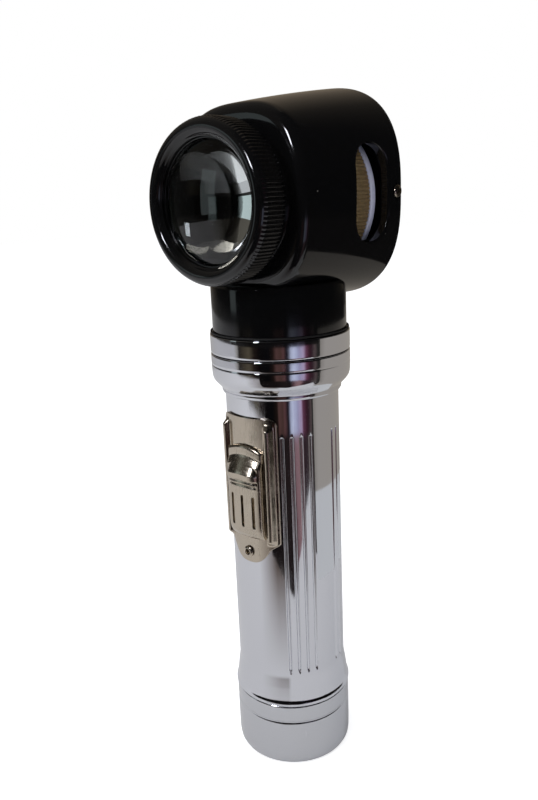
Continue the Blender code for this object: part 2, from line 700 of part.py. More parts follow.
def build_switch_plate():
    shoulder_z = PLATE_LOW_Z + PLATE_EAR
    flat, raised = plate_section(0.0), plate_section(RAIL_HEIGHT)
    stations = [(PLATE_LOW_Z, PLATE_TIP_HALF_ANGLE, flat),
                (PLATE_LOW_Z + RIVET_ABOVE_TIP / 2, PLATE_EAR_HALF_ANGLE * 0.85, flat),
                (PLATE_LOW_Z + RIVET_ABOVE_TIP, PLATE_EAR_HALF_ANGLE, flat),
                (shoulder_z - PLATE_EAR / 4, PLATE_HALF_ANGLE * 0.9, flat),
                (shoulder_z, PLATE_HALF_ANGLE, flat),
                (shoulder_z + RAIL_RUN_OUT, PLATE_HALF_ANGLE, raised),
                (PLATE_HIGH_Z - 2 * RAIL_RUN_OUT, PLATE_HALF_ANGLE, raised),
                (PLATE_HIGH_Z - RAIL_RUN_OUT, PLATE_HALF_ANGLE, flat),
                (PLATE_HIGH_Z, PLATE_EAR_HALF_ANGLE, flat)]
    plate = saddle("switch_plate", PLATE_R, stations)
    slot = block("post_slot_in_plate", (-POST_HALF - CLEAR, -PLATE_OUT_R - PAST, POST_LOW_Z - CLEAR),
                 (POST_HALF + CLEAR, -PLATE_R + PAST, POST_HIGH_Z + SLIDER_TRAVEL + CLEAR))
    combine(plate, "DIFFERENCE", slot)
    rivet_z = PLATE_LOW_Z + RIVET_ABOVE_TIP
    hole = rod("rivet_hole_in_plate", RIVET_R + CLEAR, (0, -PLATE_OUT_R - PAST, rivet_z),
               (0, -PLATE_R + PAST, rivet_z))
    combine(plate, "DIFFERENCE", hole)
    dress(plate, "nickel")


def build_switch_rivet():
    axis = axis_empty("rivet_axis", (0, 0, PLATE_LOW_Z + RIVET_ABOVE_TIP), (math.pi / 2, 0, 0))
    head_low = PLATE_OUT_R + CLEAR
    outline = [(RIVET_R, TUBE_BORE_R + CLEAR), (RIVET_R, head_low), (RIVET_HEAD_R, head_low),
               (RIVET_HEAD_R * 0.85, head_low + RIVET_HEAD * 0.7),
               (RIVET_HEAD_R * 0.4, head_low + RIVET_HEAD)]
    dress(turned_disc("switch_rivet", outline, axis, TINY_ROUND), "nickel")


def build_switch_bush():
    """Fibre bush that fills the tube's window and keeps the live post off the metal."""
    low_z = POST_LOW_Z - CLEAR - BUSH_WALL
    high_z = POST_HIGH_Z + SLIDER_TRAVEL + CLEAR + BUSH_WALL
    half = POST_HALF + CLEAR + BUSH_WALL
    half_angle = math.asin(half / TUBE_R)
    section = [(share, TUBE_R) for share in (-1.0, -0.33, 0.33, 1.0)]
    bush = saddle("switch_bush", TUBE_BORE_R, [(low_z, half_angle, section), (high_z, half_angle, section)])
    slot = block("post_slot_in_bush", (-POST_HALF - CLEAR, -TUBE_R - PAST, POST_LOW_Z - CLEAR),
                 (POST_HALF + CLEAR, -TUBE_BORE_R + PAST, POST_HIGH_Z + SLIDER_TRAVEL + CLEAR))
    combine(bush, "DIFFERENCE", slot)
    dress(bush, "fibre")


def build_switch_slider():
    axis = axis_empty("switch_slide_axis", (0, 0, SLIDER_LOW_Z))
    end_r, panel_r = SLIDER_R + SLIDER_END_THICK, SLIDER_R + SLIDER_THICK
    stations = []
    for share, rise, hump in SLIDER_PROFILE:
        radius = end_r + rise * (panel_r - end_r) + hump * SLIDER_HUMP
        edge = (radius + SLIDER_R) / 2
        section = [(-1.0, edge), (-0.93, radius), (-0.5, radius), (0.0, radius), (0.5, radius),
                   (0.93, radius), (1.0, edge)]
        stations.append((share * SLIDER_LENGTH, SLIDER_HALF_ANGLE, section))
    slider = saddle("switch_slider", SLIDER_R, stations, axis)
    for i in range(SLIDER_SLOTS):
        x = (i - (SLIDER_SLOTS - 1) / 2) * SLIDER_SLOT_PITCH
        groove_r = math.sqrt(panel_r ** 2 - x ** 2) - SLIDER_SLOT_DEPTH
        half = SLIDER_SLOT_WIDTH / 2
        groove = block(f"slider_groove_{i + 1}", (x - half, -panel_r - PAST, SLIDER_SLOT_UP),
                       (x + half, -groove_r, SLIDER_SLOT_UP + SLIDER_SLOT_LENGTH), axis)
        combine(slider, "DIFFERENCE", groove)
    dress(slider, "nickel")
    post = block("slider_post", (-POST_HALF, -SLIDER_R + CLEAR, POST_UP),
                 (POST_HALF, -STRIP_R - STRIP_THICK - CLEAR, POST_UP + POST_TALL), axis)
    dress(post, "brass")


# ---------------------------------------------------------------- collar


def build_flared_collar():
    """Spun cup that widens from the tube to the neck."""
    rise = COLLAR_R - COLLAR_SKIRT_R
    inner_rise = COLLAR_IN_R - COLLAR_SKIRT_IN_R
    flare = ((0.10, 0.13), (0.27, 0.50), (0.55, 0.77), (0.82, 0.93), (1.0, 1.0))
    base = COLLAR_LOW_Z + COLLAR_SKIRT
    outline = [(COLLAR_SKIRT_R, COLLAR_LOW_Z), (COLLAR_SKIRT_R, base)]
    outline += [(COLLAR_SKIRT_R + rise * out, base + FLARE_HEIGHT * up) for up, out in flare]
    outline += [(COLLAR_R, COLLAR_TOP_Z), (COLLAR_IN_R, COLLAR_TOP_Z)]
    outline += [(COLLAR_SKIRT_IN_R + inner_rise * out, base + COLLAR_WALL + FLARE_HEIGHT * up)
                for up, out in flare[:0:-2]]
    outline += [(COLLAR_SKIRT_IN_R, base + COLLAR_WALL), (COLLAR_SKIRT_IN_R, COLLAR_LOW_Z)]
    dress(turned_ring("flared_collar", outline), "chrome")


def build_collar_ring():
    """Rolled ring whose inner lip runs in the neck's groove and holds the head in."""
    lip_r = NECK_R - NECK_GROOVE + CLEAR
    outline = [(COLLAR_R, RING_LOW_Z), (COLLAR_R, RING_TOP_Z), (COLLAR_IN_R, RING_TOP_Z),
               (COLLAR_IN_R, LIP_LOW_Z + RING_LIP), (lip_r, LIP_LOW_Z + RING_LIP), (lip_r, LIP_LOW_Z),
               (COLLAR_IN_R, LIP_LOW_Z), (COLLAR_IN_R, RING_LOW_Z)]
    dress(turned_ring("collar_ring", outline), "chrome")
    low = RING_TOP_Z + CLEAR
    gasket_r = COLLAR_IN_R + GASKET_WALL
    high = low + GASKET_HEIGHT
    section = [(COLLAR_IN_R, low), (gasket_r, low), (gasket_r, high), (COLLAR_IN_R, high)]
    dress(turned_ring("neck_gasket", section), "rubber")


# ---------------------------------------------------------------- head


def head_loop(depth, inset):
    return rounded_square(head_half_w(depth) - inset, head_half_h(depth) - inset, head_rise(depth), depth)


def build_head_body(axis):
    """One moulding: the tapered rounded-square shell, its nose and its round neck."""
    loops = [head_loop(HEAD_REAR_D, HEAD_REAR_ROUND), head_loop(HEAD_REAR_D + HEAD_REAR_ROUND, 0)]
    start, stop = HEAD_REAR_D + HEAD_REAR_ROUND, HEAD_FRONT_D - HEAD_EDGE_ROUND
    for i in range(1, HEAD_STATIONS + 1):
        loops.append(head_loop(start + (stop - start) * i / HEAD_STATIONS, 0))
    edge = [(inset, HEAD_FRONT_D - along) for inset, along in quarter(HEAD_EDGE_ROUND, 3)]
    loops += [head_loop(depth, inset) for inset, depth in reversed(edge[:-1])]
    body = add_mesh("head_body", skin(loops, False), axis)

    groove_r = NECK_R - NECK_GROOVE
    groove_low, groove_high = LIP_LOW_Z - CLEAR, LIP_LOW_Z + RING_LIP + CLEAR
    neck = [(NECK_R, NECK_LOW_Z), (NECK_R, groove_low), (groove_r, groove_low), (groove_r, groove_high),
            (NECK_R, groove_high), (NECK_R, NECK_TOP_Z - NECK_ROUND), (NECK_R - NECK_ROUND, NECK_TOP_Z)]
    combine(body, "UNION", turned_disc("neck", neck))
    nose = [(NOSE_R, HEAD_FRONT_D - HEAD_FRONT_WALL / 2), (NOSE_R, NOSE_FRONT_D)]
    combine(body, "UNION", turned_disc("nose", nose, axis))

    cavity_loops = [head_loop(HEAD_REAR_D - PAST, HEAD_WALL), head_loop(HEAD_STEP_D, HEAD_WALL),
                    head_loop(HEAD_STEP_D, HEAD_WALL + HEAD_LEDGE),
                    head_loop(HEAD_FRONT_D - HEAD_FRONT_WALL, HEAD_WALL + HEAD_LEDGE)]
    combine(body, "DIFFERENCE", add_mesh("head_cavity", skin(cavity_loops, False), axis))
    nose_bore = turned_disc("nose_bore", [(NOSE_IN_R, HEAD_FRONT_D - HEAD_FRONT_WALL - PAST),
                                          (NOSE_IN_R, NOSE_FRONT_D + PAST)], axis)
    combine(body, "DIFFERENCE", nose_bore)
    ledge_z = NECK_LOW_Z + NECK_LEDGE_THICK
    bore = [(NECK_LEDGE_R, NECK_LOW_Z - PAST), (NECK_LEDGE_R, ledge_z), (NECK_BORE_R, ledge_z),
            (NECK_BORE_R, NECK_BORE_TOP_Z), (THROAT_R, NECK_BORE_TOP_Z),
            (THROAT_R, NECK_TOP_Z + HEAD_WALL + PAST)]
    combine(body, "DIFFERENCE", turned_disc("neck_bore", bore))

    slot_half_d = (SLOT_FRONT_D - SLOT_REAR_D) / 2
    slot_middle = (SLOT_FRONT_D + SLOT_REAR_D) / 2
    straight = max(SLOT_HALF_HEIGHT - slot_half_d, 0)
    slot_loops = []
    for x in (-HEAD_REAR_HALF_W - PAST, HEAD_REAR_HALF_W + PAST):
        loop = []
        for i in range(SMALL_ROUND):
            angle = 2 * math.pi * (i + 0.5) / SMALL_ROUND
            up = slot_half_d * math.sin(angle) + math.copysign(straight, math.sin(angle))
            along = slot_middle + slot_half_d * math.cos(angle)
            loop.append(Vector((x, head_rise(slot_middle) + up, along)))
        slot_loops.append(loop)
    combine(body, "DIFFERENCE", add_mesh("finger_slots", skin(slot_loops, False), axis))

    for side, label in ((1, "right"), (-1, "left")):
        combine(body, "DIFFERENCE", screw_hole(label, side, axis))
    guide = block("guide_slot", (-PIN_R - CLEAR, NOSE_IN_R - PAST, PIN_D - FOCUS_TRAVEL - PIN_R - CLEAR),
                  (PIN_R + CLEAR, NOSE_R + PAST, NOSE_FRONT_D + PAST), axis)
    combine(body, "DIFFERENCE", guide)
    dress(body, "phenolic")


def screw_place(side):
    """Where a cover screw's head seats on the head's side, in the lens axis's frame."""
    return Vector((side * (head_half_w(SCREW_D) - SCREW_SEAT_DEPTH), head_rise(SCREW_D), SCREW_D))


def screw_hole(label, side, axis):
    """Stepped cutter: a spot face for the screw's head and a hole for its shank."""
    hole_r, seat_r = SCREW_R + CLEAR, SCREW_HEAD_R + CLEAR
    outline = [(hole_r, -HEAD_WALL - PAST), (hole_r, 0), (seat_r, 0), (seat_r, SCREW_HEAD_HEIGHT + PAST)]
    cutter = turned_disc(f"cover_screw_hole_{label}", outline, axis, TINY_ROUND)
    cutter.location = screw_place(side)
    cutter.rotation_euler = (0, side * math.pi / 2, 0)
    return cutter


def build_rear_cover(axis):
    """Cover plugged into the back of the head, with the sleeve that the wheel turns on."""
    fit = HEAD_WALL + CLEAR
    loops = [head_loop(COVER_REAR_D, fit), head_loop(COVER_FRONT_D, fit)]
    plug = add_mesh("rear_cover", skin(loops, False), axis)
    overlap = COVER_THICK / 2
    sleeve = [(SLEEVE_R, COVER_FRONT_D - overlap), (SLEEVE_R, SLEEVE_FRONT_D)]
    combine(plug, "UNION", turned_disc("wheel_sleeve", sleeve, axis))
    hollow = [(COVER_APERTURE_R, COVER_REAR_D - PAST), (COVER_APERTURE_R, COVER_FRONT_D),
              (SLEEVE_IN_R, COVER_FRONT_D), (SLEEVE_IN_R, SLEEVE_FRONT_D + PAST)]
    combine(plug, "DIFFERENCE", turned_disc("cover_hollow", hollow, axis))
    hole_r = SCREW_R + CLEAR
    for side, label in ((1, "right"), (-1, "left")):
        start = screw_place(side)
        end = start - Vector((side * (SCREW_LENGTH + CLEAR), 0, 0))
        hole = rod(f"cover_thread_{label}", hole_r, start + Vector((side * PAST, 0, 0)), end, axis)
        combine(plug, "DIFFERENCE", hole)
    dress(plug, "phenolic")

    window_low = COVER_FRONT_D + CLEAR
    window_high = window_low + WINDOW_THICK
    window_r = SLEEVE_IN_R - CLEAR
    pane = [(window_r, window_low), (window_r, window_high)]
    dress(turned_disc("rear_window", pane, axis, SMALL_ROUND), "glass")
    ring_low, ring_high = window_high + CLEAR, window_high + CLEAR + WINDOW_RING_THICK
    ring_in_r = window_r - WINDOW_RING_WALL
    ring = turned_ring("window_ring", [(ring_in_r, ring_low), (window_r, ring_low), (window_r, ring_high),
                                       (ring_in_r, ring_high)], axis, SMALL_ROUND)
    dress(ring, "nickel")


def build_cover_screws(axis):
    for side, label in ((1, "right"), (-1, "left")):
        base, top = CLEAR, CLEAR + SCREW_HEAD_HEIGHT
        outline = [(SCREW_R, -SCREW_LENGTH), (SCREW_R, base), (SCREW_HEAD_R, base),
                   (SCREW_HEAD_R, base + SCREW_HEAD_HEIGHT * 0.45),
                   (SCREW_HEAD_R * 0.8, base + SCREW_HEAD_HEIGHT * 0.85), (SCREW_HEAD_R * 0.45, top)]
        screw = turned_disc(f"cover_screw_{label}", outline, axis, TINY_ROUND)
        screw.location = screw_place(side)
        screw.rotation_euler = (0, side * math.pi / 2, 0)
        half, reach = SCREW_SLOT_WIDTH / 2, SCREW_HEAD_R + PAST
        slot = block(f"cover_screw_slot_{label}", (-half, -reach, top - SCREW_SLOT_DEPTH),
                     (half, reach, top + PAST), axis)
        slot.location = screw.location
        slot.rotation_euler = (0, side * math.pi / 2, math.pi / 2)
        slot.rotation_mode = "XYZ"
        combine(screw, "DIFFERENCE", slot)
        dress(screw, "nickel")


def build_shield_and_mirror(axis):
    """Plate across the head that keeps lamp light off the wheel, with the bent mirror in front."""
    fit = HEAD_WALL + CLEAR
    loops = [head_loop(SHIELD_REAR_D, fit), head_loop(SHIELD_FRONT_D, fit)]
    shield = add_mesh("light_shield", skin(loops, False), axis)
    aperture = [(SHIELD_APERTURE_R, SHIELD_REAR_D - PAST), (SHIELD_APERTURE_R, SHIELD_FRONT_D + PAST)]
    combine(shield, "DIFFERENCE", turned_disc("shield_aperture", aperture, axis))
    bend_y = -SHIELD_APERTURE_R - MIRROR_BELOW_APERTURE
    foot_y = bend_y - MIRROR_FOOT
    screw_y = (bend_y + foot_y) / 2
    back_d = SHIELD_FRONT_D + CLEAR
    front_d = back_d + MIRROR_THICK
    bend = MIRROR_THICK * math.tan(math.radians(22.5))
    corner = [(foot_y, back_d), (foot_y, front_d), (bend_y - bend, front_d),
              (bend_y - bend + MIRROR_REACH, front_d + MIRROR_REACH),
              (bend_y - bend + MIRROR_REACH + MIRROR_THICK * math.sin(math.pi / 4),
               front_d + MIRROR_REACH - MIRROR_THICK * math.sin(math.pi / 4)), (bend_y, back_d)]
    loops = [[Vector((x, y, d)) for y, d in corner] for x in (-MIRROR_HALF_WIDTH, MIRROR_HALF_WIDTH)]
    mirror = add_mesh("lamp_mirror", skin(loops, False), axis)
    hole_r = MIRROR_SCREW_R + CLEAR
    shield_hole = rod("mirror_screw_hole_in_shield", hole_r, (0, screw_y, SHIELD_REAR_D - PAST),
                      (0, screw_y, SHIELD_FRONT_D + PAST), axis)
    combine(shield, "DIFFERENCE", shield_hole)
    mirror_hole = rod("mirror_screw_hole", hole_r, (0, screw_y, back_d - PAST),
                      (0, screw_y, front_d + PAST), axis)
    combine(mirror, "DIFFERENCE", mirror_hole)
    head_low = front_d + CLEAR
    outline = [(MIRROR_SCREW_R, SHIELD_REAR_D + CLEAR), (MIRROR_SCREW_R, head_low),
               (MIRROR_SCREW_HEAD_R, head_low), (MIRROR_SCREW_HEAD_R * 0.7, head_low + MIRROR_SCREW_HEAD)]
    screw = turned_disc("mirror_screw", outline, axis, TINY_ROUND)
    screw.location = (0, screw_y, 0)
    dress(shield, "phenolic")
    dress(mirror, "mirror")
    dress(screw, "brass")


def build_detent_spring(axis):
    """Arched leaf between the rear cover and the wheel, which it steadies."""
    low, high = COVER_FRONT_D + CLEAR, BAND_REAR_D - CLEAR - DETENT_THICK
    under, over = [], []
    for i in range(DETENT_POINTS + 1):
        share = i / DETENT_POINTS
        x = -DETENT_HALF_LENGTH + 2 * DETENT_HALF_LENGTH * share
        depth = low + (high - low) * math.sin(math.pi * share) ** 2
        under.append((x, depth))
        over.append((x, depth + DETENT_THICK))
    base_y = BAND_IN_R
    loops = [[Vector((x, y, d)) for x, d in under + over[::-1]]
             for y in (base_y, base_y + DETENT_WIDTH)]
    dress(add_mesh("detent_spring", skin(loops, False), axis), "steel")


# ---------------------------------------------------------------- lens and focusing ring


def build_lens_carriage():
    axis = axis_empty("focus_slide_axis", (0, 0, LENS_Z), (math.pi / 2, 0, 0))
    barrel = turned_ring("lens_barrel", [(BARREL_IN_R, BARREL_REAR_D), (BARREL_R, BARREL_REAR_D),
                                         (BARREL_R, BARREL_FRONT_D), (BARREL_IN_R, BARREL_FRONT_D),
                                         (BARREL_IN_R, LEDGE_FRONT_D), (LEDGE_IN_R, LEDGE_FRONT_D),
                                         (LEDGE_IN_R, LEDGE_REAR_D), (BARREL_IN_R, LEDGE_REAR_D)],
                         axis, SMALL_ROUND)
    pin_low = BARREL_IN_R + CLEAR
    hole = rod("guide_pin_hole", PIN_R + CLEAR, (0, pin_low - CLEAR, PIN_D),
               (0, BARREL_R + PAST, PIN_D), axis)
    combine(barrel, "DIFFERENCE", hole)
    dress(barrel, "phenolic")
    dress(rod("guide_pin", PIN_R, (0, pin_low, PIN_D), (0, NOSE_R - CLEAR, PIN_D), axis), "brass")

    rim = LENS_R - LENS_BEVEL
    rear, front = [], []
    for i in range(LENS_STEPS + 1):
        radius = rim * i / LENS_STEPS
        rear.append((radius, LENS_REAR_D - lens_sag(radius)))
        front.append((radius, LENS_FRONT_D + lens_sag(radius)))
    bevel = [(LENS_R, LENS_REAR_D + LENS_BEVEL), (LENS_R, LENS_FRONT_D - LENS_BEVEL)]
    dress(turned_disc("front_lens", rear + bevel + front[::-1], axis, SMALL_ROUND), "glass")
    retainer = turned_ring("lens_retainer", [(RETAINER_IN_R, RETAINER_REAR_D), (LENS_R, RETAINER_REAR_D),
                                             (LENS_R, RETAINER_FRONT_D), (RETAINER_IN_R, RETAINER_FRONT_D)],
                           axis, SMALL_ROUND)
    dress(retainer, "phenolic")


def build_focus_ring():
    """Ribbed ring that turns on the nose and carries the lens in and out."""
    axis = axis_empty("focus_ring_axis", (0, 0, LENS_Z), (math.pi / 2, 0, 0))
    front, edge_r = RING_FRONT_D, RING_R - RING_EDGE
    knurl_front = front - RING_DISH
    loops = [circle(RING_IN_R, RING_REAR_D), circle(edge_r, RING_REAR_D),
             ribbed(RING_R, RING_RIB_DEPTH, RING_RIBS, RING_REAR_D + RING_EDGE),
             ribbed(RING_R, RING_RIB_DEPTH, RING_RIBS, knurl_front),
             circle(edge_r, front - RING_EDGE * 1.6), circle(edge_r - RING_EDGE, front - RING_EDGE * 0.4),
             circle(edge_r - RING_EDGE * 4, front),
             circle((edge_r + RING_APERTURE_R) / 2 - RING_EDGE, front - RING_DISH * 0.25),
             circle(RING_APERTURE_R, front - RING_DISH), circle(RING_APERTURE_R, RING_WALL_D),
             circle(RING_IN_R, RING_WALL_D)]
    dress(add_mesh("focus_ring", skin(loops, True), axis), "phenolic")


# ---------------------------------------------------------------- wheel


def build_wheel():
    """Thumb wheel with its ribbed rim, its pale index band and the glass in its middle."""
    axis = axis_empty("wheel_axis", (0, 0, LENS_Z), (math.pi / 2, 0, 0))
    seat_r = WHEEL_GLASS_R + CLEAR
    flange_r = WHEEL_R - 1.5 * WHEEL_RIB_DEPTH
    lip_rear = WHEEL_FRONT_D - WHEEL_LIP_THICK
    web_rear = WHEEL_FRONT_D - WHEEL_WEB
    loops = [circle(seat_r, web_rear), circle(WHEEL_BORE_R, web_rear), circle(WHEEL_BORE_R, BAND_REAR_D),
             circle(WHEEL_HUB_R, BAND_REAR_D), circle(WHEEL_HUB_R, KNURL_REAR_D),
             circle(flange_r, KNURL_REAR_D),
             ribbed(WHEEL_R, WHEEL_RIB_DEPTH, WHEEL_RIBS, KNURL_REAR_D + WHEEL_RIB_DEPTH),
             ribbed(WHEEL_R, WHEEL_RIB_DEPTH, WHEEL_RIBS, WHEEL_FRONT_D - WHEEL_RIB_DEPTH),
             circle(flange_r, WHEEL_FRONT_D), circle(seat_r - WHEEL_LIP, WHEEL_FRONT_D),
             circle(seat_r - WHEEL_LIP, lip_rear), circle(seat_r, lip_rear)]
    dress(add_mesh("selector_wheel", skin(loops, True), axis), "ribbed brown")
    section = [(BAND_IN_R, BAND_REAR_D), (BAND_R, BAND_REAR_D), (BAND_R, BAND_FRONT_D),
               (BAND_IN_R, BAND_FRONT_D)]
    dress(turned_ring("index_band", section, axis), "ivory")
    glass_front = lip_rear - CLEAR
    glass_rear = glass_front - WHEEL_GLASS_THICK
    pane = [(WHEEL_GLASS_R, glass_rear), (WHEEL_GLASS_R, glass_front)]
    dress(turned_disc("wheel_glass", pane, axis, SMALL_ROUND), "glass")
    clip_front, clip_rear = glass_rear - CLEAR, glass_rear - CLEAR - CLIP_THICK
    clip = turned_ring("glass_clip", [(WHEEL_GLASS_R - CLIP_WALL, clip_rear), (WHEEL_GLASS_R, clip_rear),
                                      (WHEEL_GLASS_R, clip_front), (WHEEL_GLASS_R - CLIP_WALL, clip_front)],
                       axis, SMALL_ROUND)
    dress(clip, "steel")


# ---------------------------------------------------------------- lamp


def build_lamp():
    plate_r = NECK_BORE_R - CLEAR
    hole_r = SOCKET_R + CLEAR
    plate = turned_ring("lamp_plate", [(hole_r, LAMP_PLATE_LOW_Z), (plate_r, LAMP_PLATE_LOW_Z),
                                       (plate_r, LAMP_PLATE_HIGH_Z), (hole_r, LAMP_PLATE_HIGH_Z)],
                        None, SMALL_ROUND)
    dress(plate, "fibre")
    flange_low = LAMP_PLATE_HIGH_Z + CLEAR
    flange_high = flange_low + SOCKET_FLANGE_THICK
    flange_r = SOCKET_R + SOCKET_FLANGE
    section = [(SOCKET_IN_R, SOCKET_LOW_Z), (SOCKET_R, SOCKET_LOW_Z), (SOCKET_R, flange_low),
               (flange_r, flange_low), (flange_r, flange_high), (SOCKET_R, flange_high),
               (SOCKET_R, SOCKET_TOP_Z), (SOCKET_IN_R, SOCKET_TOP_Z)]
    dress(turned_ring("lamp_socket", section, None, SMALL_ROUND), "brass")
    disc_low = SOCKET_LOW_Z + CLEAR
    contact = turned_disc("lamp_contact", [(LAMP_CONTACT_R, TUBE_TOP_Z), (LAMP_CONTACT_R, disc_low),
                                           (LAMP_BASE_R, disc_low), (LAMP_BASE_R, LAMP_CONTACT_TOP_Z)],
                          None, TINY_ROUND)
    dress(contact, "brass")
    base_top = LAMP_LOW_Z + LAMP_BASE_LENGTH
    outline = [(LAMP_BASE_R * 0.5, LAMP_LOW_Z), (LAMP_BASE_R, LAMP_LOW_Z + LAMP_BASE_R * 0.3),
               (LAMP_BASE_R, base_top)]
    dress(turned_disc("lamp_base", outline, None, TINY_ROUND), "brass")

    start = math.acos(BULB_NECK_R / BULB_R)
    inner_r, outer, inner = BULB_R - BULB_WALL, [], []
    for i in range(BULB_STEPS + 1):
        angle = -start + (start + math.pi / 2) * i / BULB_STEPS
        out = math.cos(angle) * (i < BULB_STEPS)
        outer.append((BULB_R * out, BULB_MIDDLE_Z + BULB_R * math.sin(angle)))
        inner.append((inner_r * out, BULB_MIDDLE_Z + inner_r * math.sin(angle)))
    inner[0] = (inner[0][0], BULB_LOW_Z)
    bm = skin([circle(r, h, TINY_ROUND) for r, h in inner[::-1] + outer], False)
    dress(add_mesh("lamp_bulb", bm), "glass")

    low = BULB_LOW_Z
    curve = bpy.data.curves.new("lamp_filament", "CURVE")
    curve.dimensions = "3D"
    curve.bevel_depth = FILAMENT_WIRE_R
    curve.bevel_resolution = 1
    curve.use_fill_caps = True
    line = curve.splines.new("POLY")
    line.points.add(FILAMENT_STEPS + 2)
    line.points[0].co = (-FILAMENT_HALF, 0, low, 1)
    for i in range(FILAMENT_STEPS + 1):
        angle = math.pi * (1 - i / FILAMENT_STEPS)
        rise = FILAMENT_HALF * math.sin(angle) / 2
        line.points[i + 1].co = (FILAMENT_HALF * math.cos(angle), 0, BULB_MIDDLE_Z + rise, 1)
    line.points[FILAMENT_STEPS + 2].co = (FILAMENT_HALF, 0, low, 1)
    filament = bpy.data.objects.new("lamp_filament", curve)
    bpy.context.scene.collection.objects.link(filament)
    dress(filament, "steel")


def build_reflector():
    """Dished reflector round the bulb, its rim in the top of the neck's bore."""
    low_z = REFLECTOR_TOP_Z - REFLECTOR_DEPTH
    inner, outer = [], []
    for i in range(REFLECTOR_STEPS + 1):
        share = i / REFLECTOR_STEPS
        radius = REFLECTOR_BASE_R + (REFLECTOR_R - REFLECTOR_WALL - REFLECTOR_BASE_R) * share
        height = low_z + REFLECTOR_DEPTH * share ** 2
        inner.append((radius, height))
        outer.append((radius + REFLECTOR_WALL, height - REFLECTOR_WALL * (1 - share)))
    outer[-1] = (REFLECTOR_R, REFLECTOR_TOP_Z)
    outer.insert(-1, (REFLECTOR_R, REFLECTOR_TOP_Z - REFLECTOR_WALL))
    dress(turned_ring("reflector", inner[::-1] + outer, None, SMALL_ROUND), "mirror")


def build_head():
    axis = axis_empty("head_swivel_axis", (0, 0, LENS_Z), (math.pi / 2, 0, 0))
    build_head_body(axis)
    build_rear_cover(axis)
    build_cover_screws(axis)
    build_shield_and_mirror(axis)
    build_detent_spring(axis)


def main():
    clear_scene()
    build_battery_tube()
    build_cell("lower_cell", CELL_LOW_Z)
    build_cell("upper_cell", CELL_HIGH_Z)
    build_contact_strip()
    build_tail()
    build_switch_plate()
    build_switch_rivet()
    build_switch_bush()
    build_switch_slider()
    build_flared_collar()
    build_collar_ring()
    build_head()
    build_lamp()
    build_reflector()
    build_lens_carriage()
    build_focus_ring()
    build_wheel()


main()
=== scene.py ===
"""Looks of a battery-handled otoscope: a chromed torch handle with a black moulded viewing head.

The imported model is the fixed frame. Fine meshes stand for the pieces that show, the hidden works keep
their own solids, and every surface gets the finish of the stuff that it was made from. The axes are the
frame's own: +Z is up the handle, and the magnifying lens looks along -Y. Lengths of the pieces are in
millimetres up to the moment their mesh is made. Lengths of finishes and of the stage are in metres.
"""

import math

import bmesh
import bpy
import numpy as np
from mathutils import Matrix, Vector


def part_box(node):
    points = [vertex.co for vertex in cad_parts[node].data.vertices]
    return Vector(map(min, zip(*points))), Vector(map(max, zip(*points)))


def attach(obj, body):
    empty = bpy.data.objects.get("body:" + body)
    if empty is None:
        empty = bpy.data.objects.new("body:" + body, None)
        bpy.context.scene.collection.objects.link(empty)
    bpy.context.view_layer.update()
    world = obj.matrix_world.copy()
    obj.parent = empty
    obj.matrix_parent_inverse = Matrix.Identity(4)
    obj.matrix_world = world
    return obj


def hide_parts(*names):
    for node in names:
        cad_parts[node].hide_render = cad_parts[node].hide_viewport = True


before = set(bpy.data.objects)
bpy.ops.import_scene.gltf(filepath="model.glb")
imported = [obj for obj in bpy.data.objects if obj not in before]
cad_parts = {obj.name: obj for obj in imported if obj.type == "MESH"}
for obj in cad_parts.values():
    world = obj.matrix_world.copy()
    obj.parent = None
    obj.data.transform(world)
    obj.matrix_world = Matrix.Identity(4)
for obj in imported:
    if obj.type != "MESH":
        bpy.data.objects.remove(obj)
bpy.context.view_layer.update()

MM = 0.001

# ---------------------------------------------------------------- sizes read from the frame


def box_of(node):
    """Low and high corner of a node's box, in millimetres."""
    low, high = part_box(node)
    return low / MM, high / MM


def radius_of(node):
    low, high = box_of(node)
    return (high.x - low.x) / 2


def heights(node):
    low, high = box_of(node)
    return low.z, high.z


def depths(node):
    """How far a node reaches along the lens axis, rear then front. Depth grows towards the lens."""
    low, high = box_of(node)
    return -high.y, -low.y


LENS_Z = sum(heights("focus_ring")) / 2
TUBE_LOW_Z, TUBE_TOP_Z = heights("battery_tube")
SKIRT_R = radius_of("battery_tube")
CAP_R = radius_of("tail_cap")
CAP_TOP_Z = heights("tail_cap")[1]
COLLAR_R = radius_of("collar_ring")
NECK_LOW_Z = heights("head_body")[0]
WHEEL_R = radius_of("selector_wheel")
BAND_R = radius_of("index_band")
RING_R = radius_of("focus_ring")
LENS_R = radius_of("front_lens")
HEAD_REAR_D = depths("head_body")[0]

# ---------------------------------------------------------------- driving sizes of the fine pieces

TUBE_R = 18.5
TUBE_BORE_R = 17.4
THREAD_R = 18.3
THREAD_PITCH = 3.0
THREAD_DEPTH = 0.45
SKIRT_LOW_Z = CAP_TOP_Z + 0.3
SKIRT_HEIGHT = 10.5
SKIRT_UP = (0, 0.05, 0.08, 0.16, 0.21, 0.60, 0.95, 1)          # shares of its height
SKIRT_SWELL = (1.0, 1.0, 0.95, 0.73, 0.68, 0.36, 0.02, 0)      # shares of its swell at those heights
FLUTE_GROUPS = (53.0, 111.0, 180.0, 249.0, 307.0)   # middles, in degrees round from the lens side
FLUTES_IN_GROUP = 4
FLUTE_PITCH = 9.55                                  # degrees
FLUTE_HALF = 0.66
FLUTE_DEPTH = 0.5
FLUTE_ABOVE_CAP = 11.2
FLUTE_BELOW_TOP = 18.6
FLUTE_FADE = 4                                      # how much longer the end by the cap is than the other

PLATE_GAP = 0.3
PLATE_THICK = 0.6
SLIDE_SEAT_R = TUBE_R + 1.2
SWITCH_TRAVEL = 6.5
RAIL_RISE = 1.75
EYELET_STEM_R = 1.1

